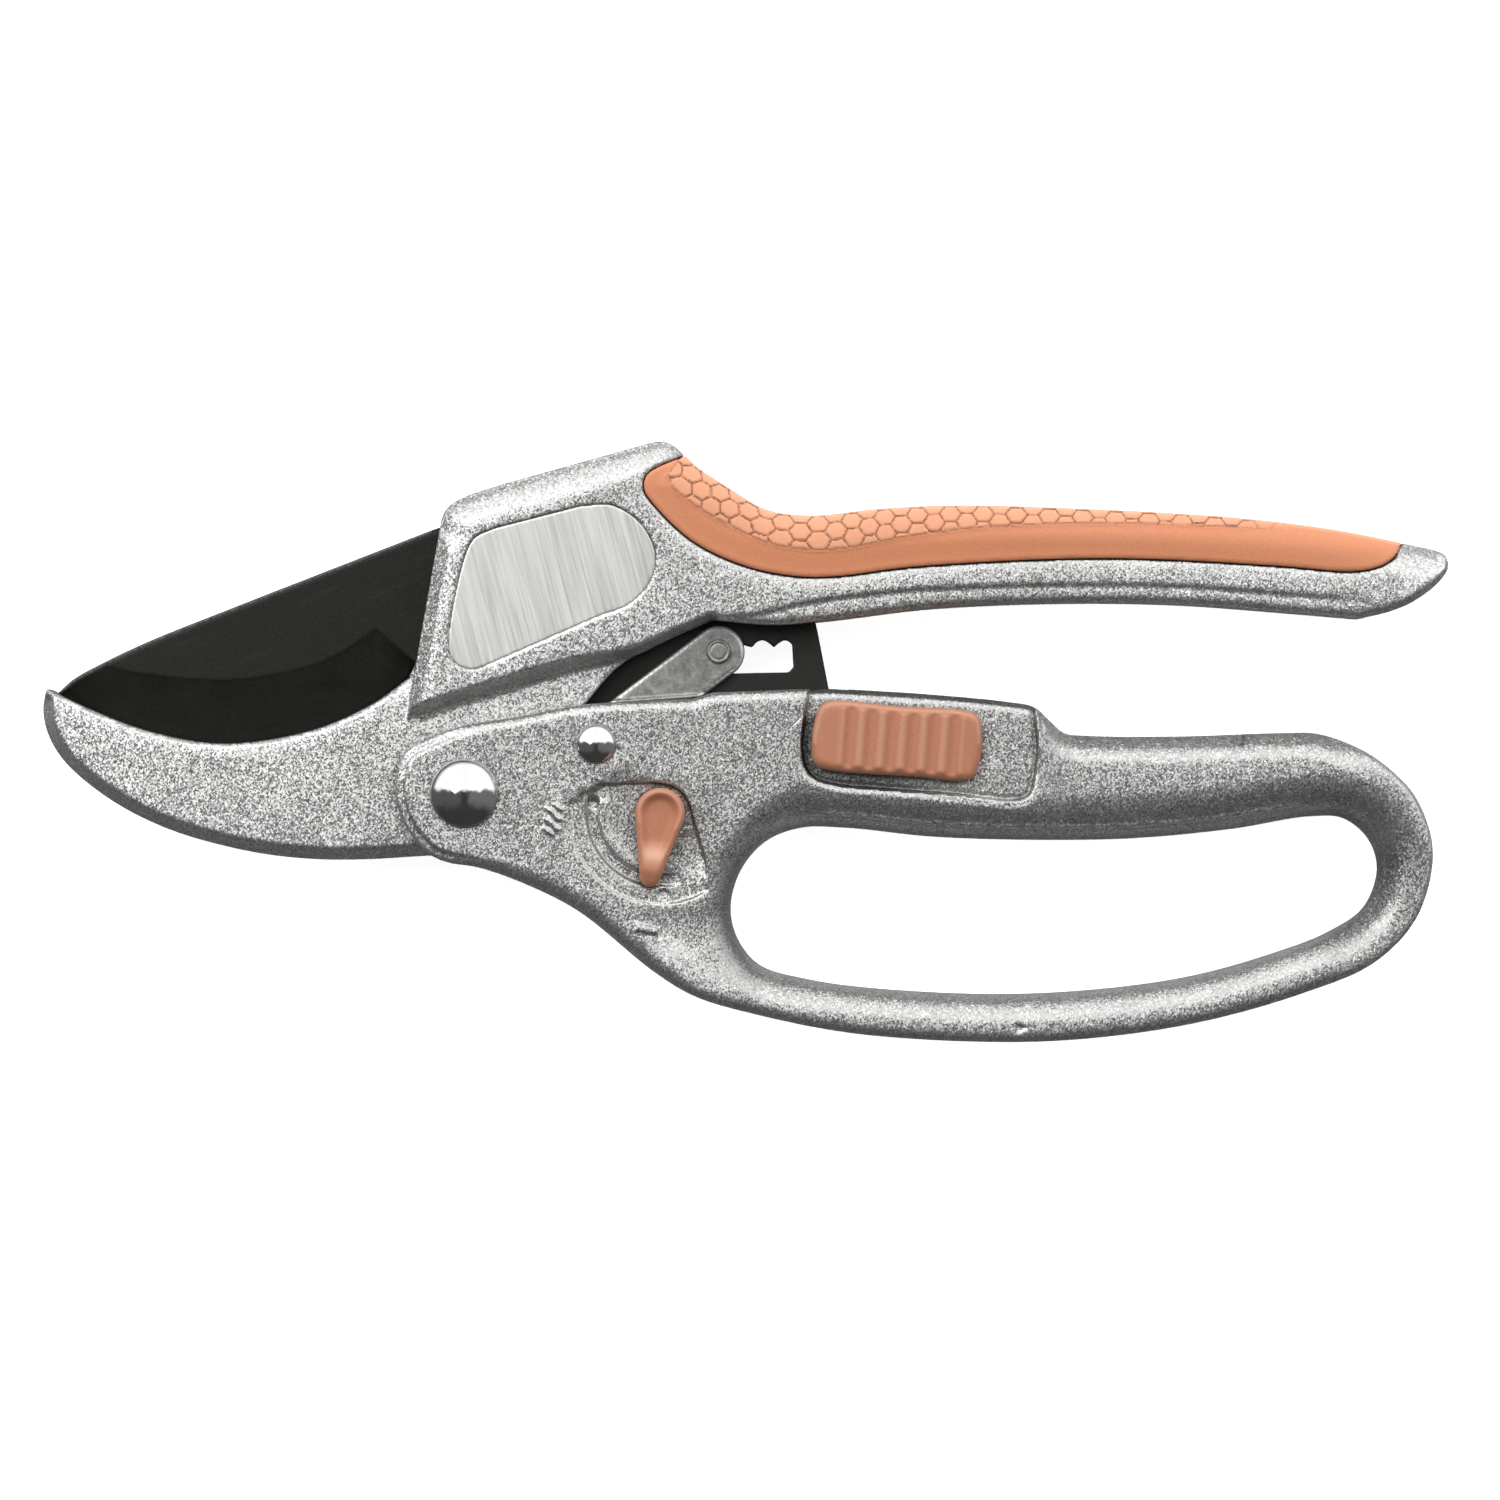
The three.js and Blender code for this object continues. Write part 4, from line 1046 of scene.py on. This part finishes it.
# ---- Small pieces ----
def lock_button():
    outline = closed(LOCK_BUTTON, 0.4)
    sheet = Sheet(outline, 0.16, 0.8)
    inside = sheet.inside(outline)
    low, high = LOCK_FLOOR + GAP, height("lock_button", 1)
    c, s = math.cos(LOCK_TILT), math.sin(LOCK_TILT)
    run = (sheet.x - 65.2) * c + (sheet.y - 7.7) * s
    rib_rise = 0.36
    rib_pitch = 3.1
    ribs = rib_rise * np.cos(2 * math.pi * run / rib_pitch) * fade(np.abs(run), 8.6, 9.8)
    top = high - 0.3 - fall(-inside, 1.3, 1.3) + ribs * ramp(-inside, 0.5, 1.2)
    top = sheet.soften(top - 0.3 * (run / 12) ** 2, 0.16)
    steep = sheet.steepness(top)

    def solid_at(z):
        return np.maximum(np.maximum((z - top) / steep, low - z), inside)

    piece = cast("lock_slider", sheet, low, high, solid_at, 50_000)
    # Painted highlight on the ribs' crests and along the upper rim.
    crest_highlight = 0.2 * np.clip(ribs / rib_rise, 0, 1) * ramp(-inside, 0.5, 1.2)
    top_rim_highlight = 0.3 * hump(inside, -0.45, 0.3) * (sheet.y > 7.5)
    at, level = under_points(piece, sheet)
    mark(piece, "painted_highlight_and_tone", np.maximum(crest_highlight, top_rim_highlight)[at] * (level > low + 0.5))
    return piece


def selector_lever():
    corners = np.array([(24.5, -14.5), (33.5, 1.3)])
    sheet = Sheet(corners, 0.13, 0.8)
    inside = selector_shape(sheet)
    low, high = height("selector_lever", 0), height("selector_lever", 1)
    lean = math.atan2(SELECTOR_PIVOT[0] - SELECTOR_TIP[0], SELECTOR_PIVOT[1] - SELECTOR_TIP[1])
    along = ((SELECTOR_PIVOT[0] - sheet.x) * math.sin(lean)
             + (SELECTOR_PIVOT[1] - sheet.y) * math.cos(lean))
    dish = 1.2 * fade(along, 4.0, 7.4) * ramp(-inside, 0.5, 1.9)
    top = high - fall(-inside, 0.9, 1.1) - dish - 1.1 * ramp(along, 8.4, 11.4)
    top = sheet.soften(top, 0.25)
    steep = sheet.steepness(top)

    def solid_at(z):
        return np.maximum(np.maximum((z - top) / steep, low - z), inside)

    piece = cast("selector_thumb", sheet, low, high, solid_at, 40_000)
    # Painted highlight: a light patch where the dish rises towards the tip, and along the upper
    # rim.
    highlight_patch = 0.5 * hump(along, 6.4, 1.5) * ramp(-inside, 0.2, 1.2)
    top_rim_highlight = 0.2 * hump(inside, -0.6, 0.35) * (along < 2)
    at, level = under_points(piece, sheet)
    mark(piece, "painted_highlight_and_tone", np.maximum(highlight_patch, top_rim_highlight)[at] * (level > low + 0.5))
    return piece


def link_plate(side):
    node = f"link_plate_{side}"
    low, high = height(node, 0), height(node, 1)
    outer, inner = (low, high) if side == "back" else (high, low)
    corners = np.array([(15.5, 3.2), (42.1, 25.4)])
    sheet = Sheet(corners, 0.18, 0.6)
    end_radius = 3.9
    inside = belt(sheet, LINK_PIVOT, end_radius, LINK_PIN, end_radius)
    fold = sheet.away(np.array([(21.6, 13.55), (36.2, 14.6)]))
    face = abs(outer) - fall(-inside, 0.85, 0.45) - 0.25 + 0.22 * fade(fold, 0.15, 0.45)
    steep = sheet.steepness(face)
    holes = np.minimum(sheet.disc(LINK_PIVOT, 2.2), sheet.disc(LINK_PIN, 1.45))

    def solid_at(z):
        a = z * math.copysign(1, outer)
        body = np.maximum(np.maximum((a - face) / steep, abs(inner) - a), inside)
        return cut(body, holes, 0.1)

    piece = cast(f"link_side_{side}", sheet, low, high, solid_at, 40_000)
    at, _ = under_points(piece, sheet)
    # Painted highlight round the plate's edge.
    mark(piece, "painted_highlight_and_tone", 0.8 * fade(np.abs(inside + 0.25), 0.1, 0.3)[at])
    return piece


def badge_plate(side):
    way = 1 if side == "front" else -1
    low, high = sorted((way * (BADGE_FACE - 0.35), way * BADGE_FACE))
    middle, half = (low + high) / 2, (high - low) / 2
    outline = closed(BADGE, 0.4)
    sheet = Sheet(outline, 0.2, 0.6)
    inside = sheet.inside(outline) - 0.15
    face = half - fall(-inside, 0.15, 0.08)
    steep = sheet.steepness(face)
    return cast(f"badge_plate_{side}", sheet, low, high,
                lambda z: np.maximum((abs(z - middle) - face) / steep, inside), 24_000)


def arc_profile(radius, base, rise, steps=16):
    """A dome's profile from its rim to its top, on one circle."""
    sphere = (radius * radius + rise * rise) / (2 * rise)
    widest = math.asin(min(1.0, radius / sphere))
    return [(sphere * math.sin(widest * (1 - i / steps)),
             base + rise - sphere * (1 - math.cos(widest * (1 - i / steps))))
            for i in range(steps)] + [(0, base + rise)]


def rivet(node, centre, shank, head):
    """A rivet with a domed head in front and a flat one behind, from their radii."""
    low, high = height(node, 0), height(node, 1)
    seat = BODY_HALF - 0.1
    skirt = 0.35
    profile = [(0, low), (head - 0.7, low), (head - 0.5, low + 0.04), (head - 0.12, low + 0.3),
               (head, low + 0.6), (head, -seat), (shank, -seat), (shank, seat), (head - 0.1, seat),
               (head, seat + 0.1), (head, seat + skirt)]
    profile += arc_profile(head, seat + skirt, high - seat - skirt)[1:]
    return turned(f"{node}_domed", centre, profile)


def link_pin():
    low, high = height("link_pin", 0), height("link_pin", 1)
    near, far = height("link_plate_front", 0), height("link_plate_front", 1)
    top = [(1.4, far + 0.02), (1.8, far + 0.05), (1.8, high - 0.18), (1.7, high - 0.05),
           (1.58, high), (1.36, high), (1.28, high - 0.1), (1.16, high - 0.02), (0.9, high),
           (0, high + 0.02)]
    half = [(1.2, 0), (1.2, near), (1.4, near)] + top
    bottom = [(r, -z) for r, z in reversed(half)][:-1]
    return turned("link_pin_turned", LINK_PIN, bottom + half, 64)


# Each of these functions has the name of the node that its piece stands for.
for make in (frame_casting, handle_grip, blade, loop_handle, lock_button, selector_lever, link_pin):
    stand_for(make(), make.__name__)
for side in ("front", "back"):
    stand_for(link_plate(side), f"link_plate_{side}")
    stand_for(badge_plate(side), f"badge_{side}")
for node, centre, shank, head in (("main_rivet", MAIN_PIVOT, MAIN_SHANK, 5.1),
                                  ("link_rivet", LINK_PIVOT, LINK_SHANK, 2.9)):
    stand_for(rivet(node, centre, shank, head), node)


# ---- Stage, light and camera ----
def floor():
    """A pale matt table, with a lamp that lights only it and so keeps the shadows faint."""
    half = 4
    corners = [(-half, -half, 0), (half, -half, 0), (half, half, 0), (-half, half, 0)]
    piece = faceted("studio_floor", corners, [(0, 1, 2, 3)])
    paint = Paint("pale_floor", Roughness=0.9)
    dress(piece, paint.done(paint.mix(paint.noise(3, 2), (0.93, 0.93, 0.93), (0.95, 0.95, 0.95))))
    piece.visible_glossy = False

    sun = bpy.data.lights.new("table_wash", "SUN")
    sun.energy = 2.9
    sun.angle = 0.5
    lamp = placed("table_wash", sun)
    table_only = bpy.data.collections.new("table_only")
    table_only.objects.link(piece)
    lamp.light_linking.receiver_collection = table_only
    lamp.light_linking.blocker_collection = table_only


def studio_light():
    """A large soft source over the tool's upper side, with its lower side left dim."""
    world = bpy.data.worlds.new("studio")
    bpy.context.scene.world = world
    world.use_nodes = True
    sky = Wiring(world.node_tree, "Generated")
    x, y, z = sky.node("ShaderNodeSeparateXYZ", {0: sky.place}).outputs

    def rise(value, low, high, bottom=0.0, top=1.0):
        return sky.span(value, low, high, bottom, top, "SMOOTHSTEP")

    def plus(a, b):
        return sky.math("ADD", a, b)

    def times(a, b):
        return sky.math("MULTIPLY", a, b)

    wander = times(sky.math("SUBTRACT", sky.noise(3.2, 2), 0.5), 0.4)
    side = plus(sky.math("SUBTRACT", y, 0.1), wander)
    lit = times(rise(side, -0.06, 0.1), rise(z, 0.0, 0.22))
    # On the dim side stand two faint windows with a dark gap between them, over a pale table.
    gap = rise(sky.math("ABSOLUTE", plus(x, wander)), 0.06, 0.3)
    windows = times(times(gap, rise(x, -0.4, 0.3, 0.45)), rise(plus(y, wander), -0.7, -0.3))
    table = times(rise(z, -0.3, -0.02, 1.0, 0.0), rise(y, 0.0, 0.5, 0.05, 0.36))
    room = plus(plus(0.06, table), times(windows, 0.17))
    level = plus(times(lit, 1.63), room)
    plain_white = 1.0
    in_view = sky.node("ShaderNodeLightPath").outputs["Is Camera Ray"]
    seen = sky.node("ShaderNodeMix", {0: in_view, 2: level, 3: plain_white}, data_type="FLOAT")
    sky.wire((1, 1, 1, 1), sky.tree.nodes["Background"], "Color")
    sky.wire(seen.outputs[0], sky.tree.nodes["Background"], "Strength")

    card = bpy.data.lights.new("key_card", "AREA")
    card.size = 0.22
    card.energy = 0.4
    lamp = placed("key_card", card)
    lamp.location = (-0.2, 0.13, 0.36)
    aim = Vector((-0.08, 0.0, 0.0)) - lamp.location
    lamp.rotation_euler = aim.to_track_quat("-Z", "Y").to_euler()


def camera():
    """Looks straight down on the tool's face, from far enough off to keep it square."""
    distance = 1.4
    view_width = 0.225
    data = bpy.data.cameras.new("camera")
    data.sensor_width = 36
    data.lens = data.sensor_width * (distance - ORIGIN.z) / view_width
    made = placed("camera", data)
    middle = ORIGIN + Vector((42.6, 6.45, 0)) * MM
    made.location = (middle.x, middle.y, distance)
    bpy.context.scene.camera = made


floor()
studio_light()
camera()
bpy.context.scene.view_settings.view_transform = "Standard"
